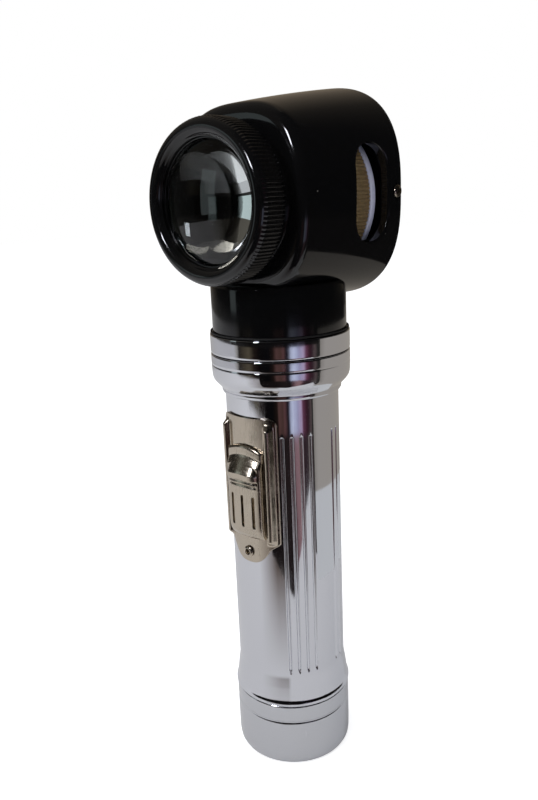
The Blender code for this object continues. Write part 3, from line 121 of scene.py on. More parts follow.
NECK_R = 21.5
NECK_HEIGHT = 25.5
NECK_ROUND = 1.3
NECK_BORE_R = 18.8
NECK_LEDGE_R = 17.5
NECK_LEDGE_THICK = 1.5
NECK_GROOVE = 0.6
THROAT_R = 13.0
NECK_BORE_HEIGHT = 19.0

HEAD_FRONT_D = 17.8
HEAD_FRONT_HALF = (25.5, 26.7)
HEAD_REAR_HALF = (30.8, 32.3)
HEAD_RISE = (0.4, 1.3)
HEAD_BULGE = 0.4
HEAD_POWER = 2.7
HEAD_WALL = 2.8
HEAD_LEDGE = 1.2
HEAD_FRONT_WALL = 4.0
HEAD_EDGE = 3.0
HEAD_REAR_EDGE = 0.5
NOSE_R = 20.6
NOSE_BORE_R = 19.0
NOSE_FRONT_D = 26.7
SLOT_FRONT_D = -3.7
SLOT_REAR_D = -17.7
SLOT_HALF_HEIGHT = 14.25
SLOT_EDGE = 0.8

WHEEL_PROUD = 0.6       # the wheel's rim and band stand this much further out than their solids
SEAT_R = 2.2            # the flat that a cover screw's head sits on
SEAT_DEPTH = 1.6

# ---------------------------------------------------------------- shader nodes


def linear(code):
    """The colour that a shader takes, from sRGB hex."""
    channels = [int(code[i:i + 2], 16) / 255 for i in (1, 3, 5)]
    return [c / 12.92 if c <= 0.04045 else ((c + 0.055) / 1.055) ** 2.4 for c in channels] + [1.0]


def add(tree, kind, inputs=(), **settings):
    """Adds a node. An input is a plain value, or the socket that it is linked from."""
    made = tree.nodes.new(kind)
    for name, value in settings.items():
        setattr(made, name, value)
    for name, value in dict(inputs).items():
        if isinstance(value, bpy.types.NodeSocket):
            tree.links.new(value, made.inputs[name])
        else:
            made.inputs[name].default_value = value
    return made


def every(size):
    """Texture scale at which one feature is this long, in metres."""
    return 1.0 / size


def blank(name):
    material = bpy.data.materials.new(name)
    material.use_nodes = True
    material.node_tree.nodes.clear()
    return material, material.node_tree


def surface(tree, shader):
    add(tree, "ShaderNodeOutputMaterial", {"Surface": shader.outputs[0]})


def mottle(tree, size, detail=3.0, squash=(1, 1, 1)):
    """Cloudy variation from 0 to 1 in patches of this size. A small squash draws them out on its axis."""
    place = add(tree, "ShaderNodeTexCoord").outputs["Object"]
    place = add(tree, "ShaderNodeMapping", {"Vector": place, "Scale": squash}).outputs[0]
    return add(tree, "ShaderNodeTexNoise",
               {"Vector": place, "Scale": every(size), "Detail": detail}).outputs[0]


def between(tree, value, low, high, from_low=0.35, from_high=0.65):
    """A value from 0 to 1 spread from low to high."""
    return add(tree, "ShaderNodeMapRange",
               {"Value": value, "From Min": from_low, "From Max": from_high, "To Min": low,
                "To Max": high}).outputs[0]


def blend_colours(tree, share, first, second):
    ramp = add(tree, "ShaderNodeValToRGB", {"Fac": share})
    ramp.color_ramp.elements[0].color = linear(first)
    ramp.color_ramp.elements[1].color = linear(second)
    ramp.color_ramp.elements[0].position = 0.3
    ramp.color_ramp.elements[1].position = 0.7
    return ramp.outputs[0]


def specks(tree, spacing, size):
    """1 inside small round specks, about one in each cell of this spacing, and 0 elsewhere."""
    place = add(tree, "ShaderNodeTexCoord").outputs["Object"]
    cell = add(tree, "ShaderNodeTexVoronoi", {"Vector": place, "Scale": every(spacing), "Randomness": 1.0})
    reach = size / spacing
    return add(tree, "ShaderNodeMapRange",
               {"Value": cell.outputs["Distance"], "From Min": reach, "From Max": reach * 0.5,
                "To Min": 0.0, "To Max": 1.0}).outputs[0]


def relief(tree, height, rise):
    """Bump whose full height is this many metres."""
    return add(tree, "ShaderNodeBump", {"Height": height, "Distance": rise, "Strength": 1.0}).outputs[0]


def plated(name, colour, clean, smeared, ripple, hairline):
    """A plated metal: a mirror with the ripple of the buffed metal below, smears and hairline scratches."""
    material, tree = blank(name)
    smear = between(tree, mottle(tree, 9 * MM), clean, smeared)
    waves = mottle(tree, 7 * MM, 1.0)
    scratch = mottle(tree, 0.35 * MM, 2.0, (1, 1, 0.06))
    wipe = add(tree, "ShaderNodeMath", {0: between(tree, scratch, 0.0, hairline, 0.5, 0.75), 1: smear},
               operation="ADD").outputs[0]
    shader = add(tree, "ShaderNodeBsdfPrincipled",
                 {"Base Color": linear(colour), "Metallic": 1.0, "Roughness": wipe,
                  "Normal": relief(tree, waves, ripple)})
    surface(tree, shader)
    return material


# colour, roughness where clean and where smeared, height of the buffing ripple, roughness of the scratches
PLATED = {
    # chrome over nickel on spun brass: cold, almost a mirror, with the faint swell of the spinning
    "bright_chrome": ("#dcdde2", 0.035, 0.10, 0.012 * MM, 0.05),
    # the same plate on the screw cap, dulled by years of being stood on a table and gripped
    "dull_chrome": ("#d3d4d8", 0.08, 0.18, 0.02 * MM, 0.12),
    # nickel plate on stamped steel: yellower and softer than chrome, so its edges glow cream
    "warm_nickel": ("#c3b8a8", 0.12, 0.26, 0.03 * MM, 0.14),
    # polished plated sheet of the lamp's mirror and reflector
    "mirror_face": ("#e6e6ea", 0.02, 0.05, 0.004 * MM, 0.02),
    # turned and stamped brass, handled and a little tarnished
    "contact_brass": ("#b99552", 0.22, 0.40, 0.02 * MM, 0.15),
    # tinned steel of the cells' ends: a soft grey shine
    "tinned_steel": ("#b4b4b8", 0.28, 0.42, 0.02 * MM, 0.12),
    # drawn steel wire and leaf, with fine die marks along it
    "spring_steel": ("#85858b", 0.26, 0.38, 0.01 * MM, 0.20),
}


def grained(name, grain, colours, gloss, ior, rise):
    """A filled, cast or pressed stuff: one grain drives its colour, its shine and its relief."""
    material, tree = blank(name)
    grain = mottle(tree, *grain)
    shader = add(tree, "ShaderNodeBsdfPrincipled",
                 {"Base Color": blend_colours(tree, grain, *colours), "IOR": ior,
                  "Roughness": between(tree, grain, *gloss), "Normal": relief(tree, grain, rise)})
    surface(tree, shader)
    return material


# grain as size, detail and squash, then two colours, roughness from and to, IOR and height of the grain
GRAINED = {
    # brown phenolic filled with wood flour: matt, mottled, paler on the ribs that thumbs have rubbed
    "brown_phenolic": ((0.7 * MM, 4.0), ("#5c4a30", "#907a54"), (0.34, 0.55), 1.6, 0.01 * MM),
    # cast pale plastic of the index band: smooth, glossy and slightly blue
    "ivory_plastic": ((5 * MM, 2.0), ("#c3c6e0", "#d3d5ea"), (0.10, 0.18), 1.49, 0.004 * MM),
    # moulded rubber ring: soft black without shine
    "black_rubber": ((0.4 * MM, 4.0), ("#0c0c0c", "#171717"), (0.6, 0.8), 1.52, 0.01 * MM),
    # lacquered jacket of a torch cell, plain blue with a little dirt
    "cell_wrapper": ((4 * MM, 4.0), ("#232f55", "#33437a"), (0.3, 0.5), 1.5, 0.01 * MM),
    # red vulcanised fibre sheet: dry, matt, with the grain of pressed paper
    "vulcanised_fibre": ((0.8 * MM, 5.0, (1, 1, 0.3)), ("#5a241b", "#7c3a2c"), (0.55, 0.75), 1.5,
                         0.02 * MM),
}


def black_phenolic():
    """Phenolic moulded in a polished tool: a deep gloss, faintly uneven, with dust and fine rubs."""
    material, tree = blank("black_phenolic")
    gloss = between(tree, mottle(tree, 12 * MM), 0.06, 0.13)
    rubs = between(tree, mottle(tree, 0.5 * MM, 2.0, (0.1, 1, 1)), 0.0, 0.10, 0.58, 0.8)
    rough = add(tree, "ShaderNodeMath", {0: gloss, 1: rubs}, operation="ADD").outputs[0]
    dust = specks(tree, 9 * MM, 0.22 * MM)
    colour = add(tree, "ShaderNodeMix", {"Factor": dust, 6: linear("#0a0a0b"), 7: linear("#8d8a84")},
                 data_type="RGBA").outputs[2]
    shader = add(tree, "ShaderNodeBsdfPrincipled",
                 {"Base Color": colour, "Roughness": rough, "IOR": 1.55,
                  "Normal": relief(tree, mottle(tree, 9 * MM, 1.0), 0.01 * MM)})
    surface(tree, shader)
    return material


def clear_glass():
    """Polished crown glass with the faintest film of handling. Lamp light and soft light go through it."""
    material, tree = blank("clear_glass")
    film = mottle(tree, 6 * MM, 3.0)
    body = add(tree, "ShaderNodeBsdfPrincipled",
               {"Base Color": linear("#f2f8f8"), "Roughness": between(tree, film, 0.0, 0.03),
                "IOR": 1.52, "Transmission Weight": 1.0})
    path = add(tree, "ShaderNodeLightPath")
    light = (path.outputs["Is Shadow Ray"], path.outputs["Is Diffuse Ray"])
    passing = add(tree, "ShaderNodeMath", enumerate(light), operation="MAXIMUM")
    through = add(tree, "ShaderNodeBsdfTransparent", {"Color": linear("#f2f8f8")})
    surface(tree, add(tree, "ShaderNodeMixShader",
                      {0: passing.outputs[0], 1: body.outputs[0], 2: through.outputs[0]}))
    return material


FINISHES = {name: plated(name, *how) for name, how in PLATED.items()}
FINISHES |= {name: grained(name, *how) for name, how in GRAINED.items()}
FINISHES |= {"black_phenolic": black_phenolic(), "clear_glass": clear_glass()}

# ---------------------------------------------------------------- making meshes


def placed(name, data):
    """A new object in the scene."""
    made = bpy.data.objects.new(name, data)
    bpy.context.scene.collection.objects.link(made)
    return made


def solid(name, points, faces):
    """A closed mesh from points in millimetres, with its faces turned outwards."""
    mesh = bpy.data.meshes.new(name)
    mesh.from_pydata((np.reshape(points, (-1, 3)) * MM).tolist(), [], faces)
    bm = bmesh.new()
    bm.from_mesh(mesh)
    bmesh.ops.recalc_face_normals(bm, faces=bm.faces)
    bm.to_mesh(mesh)
    bm.free()
    return placed(name, mesh)


def combine(piece, other, operation):
    """Joins other to piece, or cuts it out of piece, for good."""
    change = piece.modifiers.new("combine", "BOOLEAN")
    change.object, change.operation, change.solver = other, operation, "EXACT"
    evaluated = piece.evaluated_get(bpy.context.evaluated_depsgraph_get())
    mesh = bpy.data.meshes.new_from_object(evaluated)
    piece.modifiers.clear()
    piece.data = mesh
    bpy.data.objects.remove(other)
    return piece


def dress(piece, finish, body, nodes, crease=35):
    """Gives a piece its finish and smooth shading, and puts it in the place of CAD nodes on their body."""
    piece.data.materials.clear()
    piece.data.materials.append(FINISHES[finish])
    piece.data.polygons.foreach_set("material_index", [0] * len(piece.data.polygons))
    piece.data.shade_smooth()
    piece.data.set_sharp_from_angle(angle=math.radians(crease))
    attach(piece, body)
    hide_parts(*nodes)
    return piece


def skin_faces(rows, columns, close_rows):
    """Quads over loops of points laid one after another. With close_rows the last loop meets the first."""
    faces = []
    for i in range(rows if close_rows else rows - 1):
        here, there = i * columns, (i + 1) % rows * columns
        for k in range(columns):
            after = (k + 1) % columns
            faces.append((here + k, here + after, there + after, there + k))
    return faces


def loops_to_piece(name, loops, closed):
    """A tube or a ring through loops of equal count. An open one is capped at both ends."""
    rows, columns = len(loops), len(loops[0])
    faces = skin_faces(rows, columns, closed)
    if not closed:
        faces += [tuple(range(columns)), tuple(range((rows - 1) * columns, rows * columns))]
    return solid(name, np.array(loops), faces)


def block(name, low, high):
    """A plain cutter between two corners."""
    (x0, y0, z0), (x1, y1, z1) = low, high
    loops = [np.array(((x0, y0, z), (x1, y0, z), (x1, y1, z), (x0, y1, z))) for z in (z0, z1)]
    return loops_to_piece(name, loops, False)


def soften(corners, steps=5):
    """An outline with its corners rounded. A corner is (radius, height, rounding, rib share)."""
    corners = [tuple(c) + (0,) * (4 - len(c)) for c in corners]
    out = []
    for i, (r, h, rounding, rib) in enumerate(corners):
        here = np.array((r, h))
        before = np.array(corners[i - 1][:2]) - here
        after = np.array(corners[(i + 1) % len(corners)][:2]) - here
        far, near = np.linalg.norm(before), np.linalg.norm(after)
        if not rounding or far == 0 or near == 0:
            out.append((r, h, rib))
            continue
        reach_in, reach_out = min(rounding, far / 2), min(rounding, near / 2)
        start, end = here + before / far * reach_in, here + after / near * reach_out
        for t in np.linspace(0, 1, steps):
            p = (1 - t) ** 2 * start + 2 * t * (1 - t) * here + t ** 2 * end
            out.append((p[0], p[1], rib))
    return out


def turned(outline, sides, ribs=0, rib_depth=0.0):
    """Loops of a turned outline of (radius, height, rib share), with rounded ribs sunk into it."""
    angles = np.arange(sides) * 2 * math.pi / sides
    sink = rib_depth * (0.5 - 0.5 * np.cos(angles * ribs)) ** 1.3
    return [np.column_stack(((r - rib * sink) * np.cos(angles), (r - rib * sink) * np.sin(angles),
                             np.full(sides, h))) for r, h, rib in outline]


def on_lens_axis(loops):
    """Turns loops drawn round their own height onto the lens axis, height becoming depth."""
    return [np.column_stack((loop[:, 0], -loop[:, 2], LENS_Z + loop[:, 1])) for loop in loops]


SIDES = 160


def shifted_up(piece, rise):
    piece.data.transform(Matrix.Translation((0, 0, rise * MM)))
    return piece


def lathe(name, corners, sides=SIDES, ring=True, lens_axis=False, ribs=0, rib_depth=0.0):
    loops = turned(soften(corners), sides, ribs, rib_depth)
    return loops_to_piece(name, on_lens_axis(loops) if lens_axis else loops, ring)


# ---------------------------------------------------------------- handle


def smooth_step(x):
    x = np.clip(x, 0, 1)
    return x * x * (3 - 2 * x)


def flute_angles():
    return [math.radians(group + FLUTE_PITCH * (i - (FLUTES_IN_GROUP - 1) / 2))
            for group in FLUTE_GROUPS for i in range(FLUTES_IN_GROUP)]


def tube_radius(angles, z):
    """Radius of the handle's sheet at one height: rolled thread, swelling skirt, then fluted tube."""
    if z < SKIRT_LOW_Z:
        fade = smooth_step(z - TUBE_LOW_Z) * smooth_step(SKIRT_LOW_Z - z)
        turn = angles - 2 * math.pi * z / THREAD_PITCH
        return THREAD_R - THREAD_DEPTH * fade * (0.5 + 0.5 * np.cos(turn))
    up = min((z - SKIRT_LOW_Z) / SKIRT_HEIGHT, 1)
    swell = (SKIRT_R - TUBE_R) * np.interp(up, SKIRT_UP, SKIRT_SWELL)
    radius = np.full(len(angles), TUBE_R + swell)
    # the die ran out gently at the cap's end, and stopped short at the collar's
    low = CAP_TOP_Z + FLUTE_ABOVE_CAP + FLUTE_FADE * FLUTE_HALF
    high = TUBE_TOP_Z - FLUTE_BELOW_TOP - FLUTE_HALF
    beyond = max((low - z) / FLUTE_FADE, z - high, 0)
    if beyond < FLUTE_HALF:
        for middle in flute_angles():
            across = TUBE_R * np.abs((angles - middle + math.pi) % (2 * math.pi) - math.pi)
            away = np.hypot(across, beyond) / FLUTE_HALF
            radius -= FLUTE_DEPTH * (1 - smooth_step((away - 0.25) / 0.75))
    return radius


def make_tube():
    """One drawn tube: thread for the cap, skirt, long pressed flutes with round ends."""
    half = FLUTE_HALF / TUBE_R
    spots = set(np.round(np.radians(np.arange(0, 360, 3.0)), 6))
    for middle in flute_angles():
        spots = {s for s in spots if abs(s - middle) > 1.3 * half}
        spots |= {round(middle + half * share, 6) for share in np.linspace(-1.15, 1.15, 15)}
    angles = np.array(sorted(spots))
    low, high = CAP_TOP_Z + FLUTE_ABOVE_CAP, TUBE_TOP_Z - FLUTE_BELOW_TOP
    # loops lie close together over the thread, the skirt's steps and the ends of the flutes
    levels = np.concatenate((
        np.arange(TUBE_LOW_Z, SKIRT_LOW_Z - 0.1, 0.3), [SKIRT_LOW_Z - 0.01],
        np.linspace(SKIRT_LOW_Z + 0.01, SKIRT_LOW_Z + 2.4, 16),
        np.linspace(SKIRT_LOW_Z + 2.9, low - 0.2, 20), np.linspace(low, low + 3.6, 16),
        np.linspace(low + 4, high - 4, 14), np.linspace(high - 1.6 * FLUTE_HALF, high, 12),
        np.linspace(high + 1, TUBE_TOP_Z, 6)))
    rounds = [(tube_radius(angles, z), z) for z in levels]
    rounds += [(TUBE_BORE_R, TUBE_TOP_Z), (TUBE_BORE_R, TUBE_LOW_Z)]
    loops = [np.column_stack((r * np.sin(angles), -r * np.cos(angles), np.full(len(angles), z)))
             for r, z in rounds]
    piece = loops_to_piece("fluted_tube", loops, True)
    slot_low, slot_high = box_of("switch_bush")
    across = slot_high.x + 0.02
    window = block("tube_window", (-across, -TUBE_R - 1, slot_low.z - 0.02),
                   (across, -TUBE_BORE_R / 2, slot_high.z + 0.02))
    dress(combine(piece, window, "DIFFERENCE"), "bright_chrome", "handle", ["battery_tube"], 40)


def make_cap():
    """Screwed end cap with a round foot, a rolled line below its rim and a dished base."""
    bore, floor, line_z = THREAD_R + 0.3, 2.0, CAP_TOP_Z - 6.3
    corners = [(0.2, 0.5), (13.0, 0.5, 0.8), (14.2, 0, 0.8),
               (CAP_R - 0.15, 0, 3.0), (CAP_R, 6, 2),
               (CAP_R, line_z - 0.7, 0.4), (CAP_R - 0.35, line_z, 0.3),
               (CAP_R, line_z + 0.7, 0.4), (CAP_R, CAP_TOP_Z, 0.9),
               (bore, CAP_TOP_Z, 0.3), (bore, floor, 0.3), (0.2, floor)]
    dress(lathe("screw_cap", corners, ring=False), "dull_chrome", "tail_cap", ["tail_cap"])


def make_collar():
    """Spun cup that flares from the tube to the neck, the rolled ring above it and the rubber ring."""
    low, high = heights("flared_collar")
    bore, skirt_bore = NECK_R + 0.3, TUBE_R + 0.3
    corners = [(skirt_bore + 0.3, low, 0.3), (skirt_bore + 0.75, low + 0.7, 0.5),
               (skirt_bore + 0.6, low + 1.7, 0.4), (21.1, low + 3.4, 1.0),
               (22.3, low + 4.9, 1.3), (COLLAR_R, low + 9.1, 0.3),
               (COLLAR_R - 0.15, low + 9.5, 0.2), (COLLAR_R, low + 9.9, 0.3),
               (COLLAR_R, high, 0.5), (bore, high), (bore, low + 7.4, 1.0),
               (21.0, low + 5.6, 1), (20.4, low + 3.6, 1),
               (skirt_bore, low + 2.2, 0.5), (skirt_bore, low)]
    dress(lathe("flared_cup", corners), "bright_chrome", "handle", ["flared_collar"])

    low, high = heights("collar_ring")
    lip_r = NECK_R - NECK_GROOVE + 0.3
    lip = (low + high) / 2
    corners = [(bore, low), (COLLAR_R, low, 0.7), (COLLAR_R, high, 0.3), (bore, high, 0.2),
               (bore, lip + 0.5), (lip_r, lip + 0.5, 0.3), (lip_r, lip - 0.5, 0.3),
               (bore, lip - 0.5)]
    dress(lathe("rolled_ring", corners), "bright_chrome", "handle", ["collar_ring"])

    low, high = heights("neck_gasket")
    rim = radius_of("neck_gasket")
    corners = [(bore, low), (rim, low, 0.2), (rim, high, 0.2), (bore, high)]
    dress(lathe("rubber_ring", corners), "black_rubber", "handle", ["neck_gasket"])


# ---------------------------------------------------------------- switch


def rail_rise(x, z, low, high):
    """How far the housing's pressed rail stands out: steep inside, sloping outside, rounded at its ends."""
    side = np.abs(x)
    inner = smooth_step((side - 6.75) / 0.85)
    slope = np.clip((side - 8.35) / 1.45, 0, 1)
    outer = 1 - (0.85 * slope + 0.15 * smooth_step(slope))
    ends = smooth_step((high - z) / 2.6) * smooth_step((z - low) / 2.2)
    return RAIL_RISE * inner * outer * ends


def make_housing():
    """Stamped nickel channel that the slide runs in: flat floor, two rails, rounded ear for the eyelet."""
    low, high = heights("switch_plate")
    inside_r, sheet = TUBE_R + PLATE_GAP, PLATE_THICK
    half = math.asin(box_of("switch_plate")[1].x / (inside_r + sheet))
    ear_top, corner = low + 7.6, 2.2
    ear_up = (0, 0.12, 0.35, 0.9, 2.0, 3.2, 4.6, 5.4, 6.2, 6.9, 7.6)
    ear_wide = (0.8, 2.3, 3.2, 4.3, 5.5, 6.5, 7.3, 8.0, 9.1, 10.1, 10.65)

    def half_angle(z):
        """Half of the housing's width at this height, as an angle."""
        if z < ear_top:
            return min(half, math.asin(np.interp(z - low, ear_up, ear_wide) / inside_r))
        down = max(0, corner - (high - z)) / corner
        return half - corner / inside_r * (1 - math.sqrt(max(0, 1 - down ** 2)))

    levels = np.concatenate((low + np.array((0.0, 0.04, 0.12, 0.3, 0.6, 1.0, 1.5, 2.1, 2.8)),
                             np.arange(low + 3.4, ear_top + 4, 0.35),
                             np.arange(ear_top + 4.2, high - 4.5, 1.2),
                             np.arange(high - 4.2, high - 0.1, 0.3),
                             [high - 0.03, high]))
    shares = np.linspace(-1, 1, 121)
    sections = []
    for z in levels:
        angle = shares * half_angle(z)
        lift = rail_rise(inside_r * np.sin(angle), z, ear_top - 1, high - 1.2)
        edge = np.minimum((1 - np.abs(shares)) * 25, 1)
        over = inside_r + sheet * (0.35 + 0.65 * np.sqrt(edge)) + lift
        under = inside_r + lift * 0.85
        top, base = (np.column_stack((r * np.sin(angle), -r * np.cos(angle), np.full(len(angle), z)))
                     for r in (over, under))
        sections.append(np.concatenate((top, base[::-1])))
    piece = loops_to_piece("switch_housing", sections, False)
    post_low, post_high = box_of("slider_post")
    gap = 0.3
    opening = block("housing_slot", (post_low.x - gap, -inside_r - 3, post_low.z - gap),
                    (post_high.x + gap, -TUBE_R * 0.8, post_high.z + SWITCH_TRAVEL + gap))
    combine(piece, opening, "DIFFERENCE")
    hole_r = EYELET_STEM_R + 0.15
    hole = lathe("eyelet_hole", [(hole_r, 15), (hole_r, 22)], 32, ring=False, lens_axis=True)
    shifted_up(hole, sum(heights("switch_rivet")) / 2 - LENS_Z)
    dress(combine(piece, hole, "DIFFERENCE"), "warm_nickel", "handle", ["switch_plate"], 50)


def make_eyelet():
    """Tubular rivet with a rolled head and an open middle."""
    low, high = heights("switch_rivet")
    rear, front = depths("switch_rivet")
    stem, head, seat = EYELET_STEM_R, (high - low) / 2, SLIDE_SEAT_R
    corners = [(0.25, rear), (stem, rear), (stem, seat), (head, seat, 0.2),
               (head * 0.95, (seat + front) / 2, 0.4), (head * 0.6, front, 0.3),
               (1.0, front - 0.1, 0.3), (0.75, seat - 0.4, 0.3),
               (0.7, rear + 0.3), (0.25, rear + 0.3)]
    piece = shifted_up(lathe("eyelet", corners, 48, lens_axis=True), (low + high) / 2 - LENS_Z)
    dress(piece, "warm_nickel", "handle", ["switch_rivet"])


# the slide's middle line, foot to lip: height above the foot and rise above the tube's axis, both in mm
SLIDE_PROFILE = (
    (0, 20.1), (0.5, 20.55), (1.6, 21.15), (3.2, 21.55), (5, 21.7),                          # foot, panel
    (17.2, 21.65), (17.45, 22.2), (17.8, 22.25), (18.7, 21.95), (18.95, 22.6), (19.3, 22.65),
    (20.2, 22.35), (20.45, 22.95), (20.9, 23.1), (22.4, 23.15),                              # steps, crest
    (23.1, 22.85), (27.4, 20.75), (28.1, 20.5), (28.5, 20.62), (30.4, 20.55), (30.9, 20.4))  # face, lip
PANEL_RISE = 21.7


def make_slide():
    """Stamped thumb slide: slotted panel, steps up to the thumb rest, a dished face and an arched lip."""
    low, high = heights("switch_slider")
    half = box_of("switch_slider")[1].x
    arch = 2.0
    slot_half, slot_pitch, slot_floor = 0.56, 4.35, SLIDE_SEAT_R + 0.35
    slot_low, slot_high = low + 3.9, low + 14.8
    stations = np.array([low + up for up, rise in SLIDE_PROFILE] + [high])
    tops = np.array([rise for up, rise in SLIDE_PROFILE] + [20.05])
    levels = np.unique(np.concatenate((np.linspace(low, low + 3.2, 12), stations,
                                       np.linspace(slot_low - 0.5, slot_low + 0.6, 12),
                                       np.linspace(slot_high - 0.6, slot_high + 0.5, 12),
                                       np.linspace(low + 16, high, 90))))
    grooves = [slot_pitch * (i - 1) for i in range(3)]
    across = set(np.linspace(-half, half, 61))
    across |= {side * half * f for side in (-1, 1) for f in (0.995, 0.985, 0.955)}
    for middle in grooves:
        across = {x for x in across if abs(abs(x - middle) - slot_half) > 0.15}
        across |= {middle + side * slot_half * f for side in (-1, 1) for f in (0.82, 0.9, 1.0, 1.15)}
    across = np.array(sorted(across))
    share = np.clip(np.abs(across) / half, 0, 1)
    bend, rest_share = 28, 0.9
    sunk = across ** 2 / (2 * bend)
    edge = np.sqrt(SLIDE_SEAT_R ** 2 - half ** 2)
    floor = np.sqrt(SLIDE_SEAT_R ** 2 - across ** 2)
    panel = np.maximum(1 - share ** 10, 0) ** 0.1
    rest = np.maximum(1 - np.minimum(share / rest_share, 1) ** 5, 0) ** 0.2
    sections = []
    for z in levels:
        # the profile is averaged over a short length, so that facets meet in small rounds
        reach = 0.14 if low < z < high else 0
        top = np.interp(z + np.linspace(-reach, reach, 5), stations, tops).mean()
        height = edge + (min(top, PANEL_RISE) - sunk - edge) * panel
        height = np.maximum(height, edge + (top - sunk - edge) * rest)
        for middle in grooves:
            aside = np.abs(across - middle)
            beyond = max(slot_low + slot_half - z, z - slot_high + slot_half, 0)
            inside = np.clip((slot_half - np.hypot(aside, beyond)) / 0.07, 0, 1)
            height -= np.maximum(height - slot_floor, 0) * inside
        height = np.maximum(height, floor)
        lean = arch * (across / half) ** 2 * smooth_step((z - low - 14) / (high - low - 14))
        upper = np.column_stack((across, -height, z - lean))
        under = np.column_stack((across, -floor, z - lean))
        sections.append(np.concatenate((upper, under[::-1])))
    piece = loops_to_piece("thumb_slide", sections, False)
    dress(piece, "warm_nickel", "switch_slider", ["switch_slider"], 45)


# ---------------------------------------------------------------- head


def head_share(depth):
    return (HEAD_FRONT_D - depth) / (HEAD_FRONT_D - HEAD_REAR_D)


def head_half(depth, axis):
    share = head_share(depth)
    taper = HEAD_FRONT_HALF[axis] + share * (HEAD_REAR_HALF[axis] - HEAD_FRONT_HALF[axis])
    return taper + HEAD_BULGE * 4 * share * (1 - share)


def head_rise(depth):
    return HEAD_RISE[0] + head_share(depth) * (HEAD_RISE[1] - HEAD_RISE[0])


def head_loop(depth, inset, count):
    """Points spaced evenly round the rounded-square section of the head."""
    turn = np.linspace(0, 2 * math.pi, 4001)
    c, s = np.cos(turn), np.sin(turn)
    x = (head_half(depth, 0) - inset) * np.sign(c) * np.abs(c) ** (2 / HEAD_POWER)
    y = (head_half(depth, 1) - inset) * np.sign(s) * np.abs(s) ** (2 / HEAD_POWER)
    along = np.concatenate(([0], np.cumsum(np.hypot(np.diff(x), np.diff(y)))))
    spots = np.arange(count) * along[-1] / count
    return np.column_stack((np.interp(spots, along, x), np.interp(spots, along, y) + head_rise(depth),
                            np.full(count, depth)))


def round_loop(radius, depth, count):
    """Points round a circle, each at the same share of the turn as its neighbour on the head's section."""
    outer = head_loop(depth, 0, count)
    angle = np.arctan2(outer[:, 1] - head_rise(depth), outer[:, 0])
    return np.column_stack((radius * np.cos(angle), radius * np.sin(angle), np.full(count, depth)))


def head_side_x(y, depth, inset):
    """How far out the head's side lies at a height and a depth."""
    up = np.abs(y - head_rise(depth)) / (head_half(depth, 1) - inset)
    return (head_half(depth, 0) - inset) * (1 - np.minimum(up, 1) ** HEAD_POWER) ** (1 / HEAD_POWER)


def slot_outline(shares, grow):
    """Points of a finger slot's outline, grown outwards, by share of the way round from its front side."""
    half_d = (SLOT_FRONT_D - SLOT_REAR_D) / 2
    middle_d = (SLOT_FRONT_D + SLOT_REAR_D) / 2
    straight = SLOT_HALF_HEIGHT - half_d
    turn = np.linspace(0, 2 * math.pi, 2001)
    up = half_d * np.sin(turn) + straight * np.sign(np.sin(turn)).round()
    out = half_d * np.cos(turn)
    grow_up, grow_out = np.sin(turn), np.cos(turn)
    along = np.concatenate(([0], np.cumsum(np.hypot(np.diff(up), np.diff(out)))))
    spots = np.asarray(shares) * along[-1]
    sample = [np.interp(spots, along, v) for v in (up, out, grow_up, grow_out)]
    return (head_rise(middle_d) + sample[0] + grow * sample[2], middle_d + sample[1] + grow * sample[3])


COLUMNS = 288
SLOT_RINGS = 9


def band_faces(first, second):
    """Quads between two closed chains of point numbers."""
    return [(first[i - 1], first[i], second[i], second[i - 1]) for i in range(len(first))]


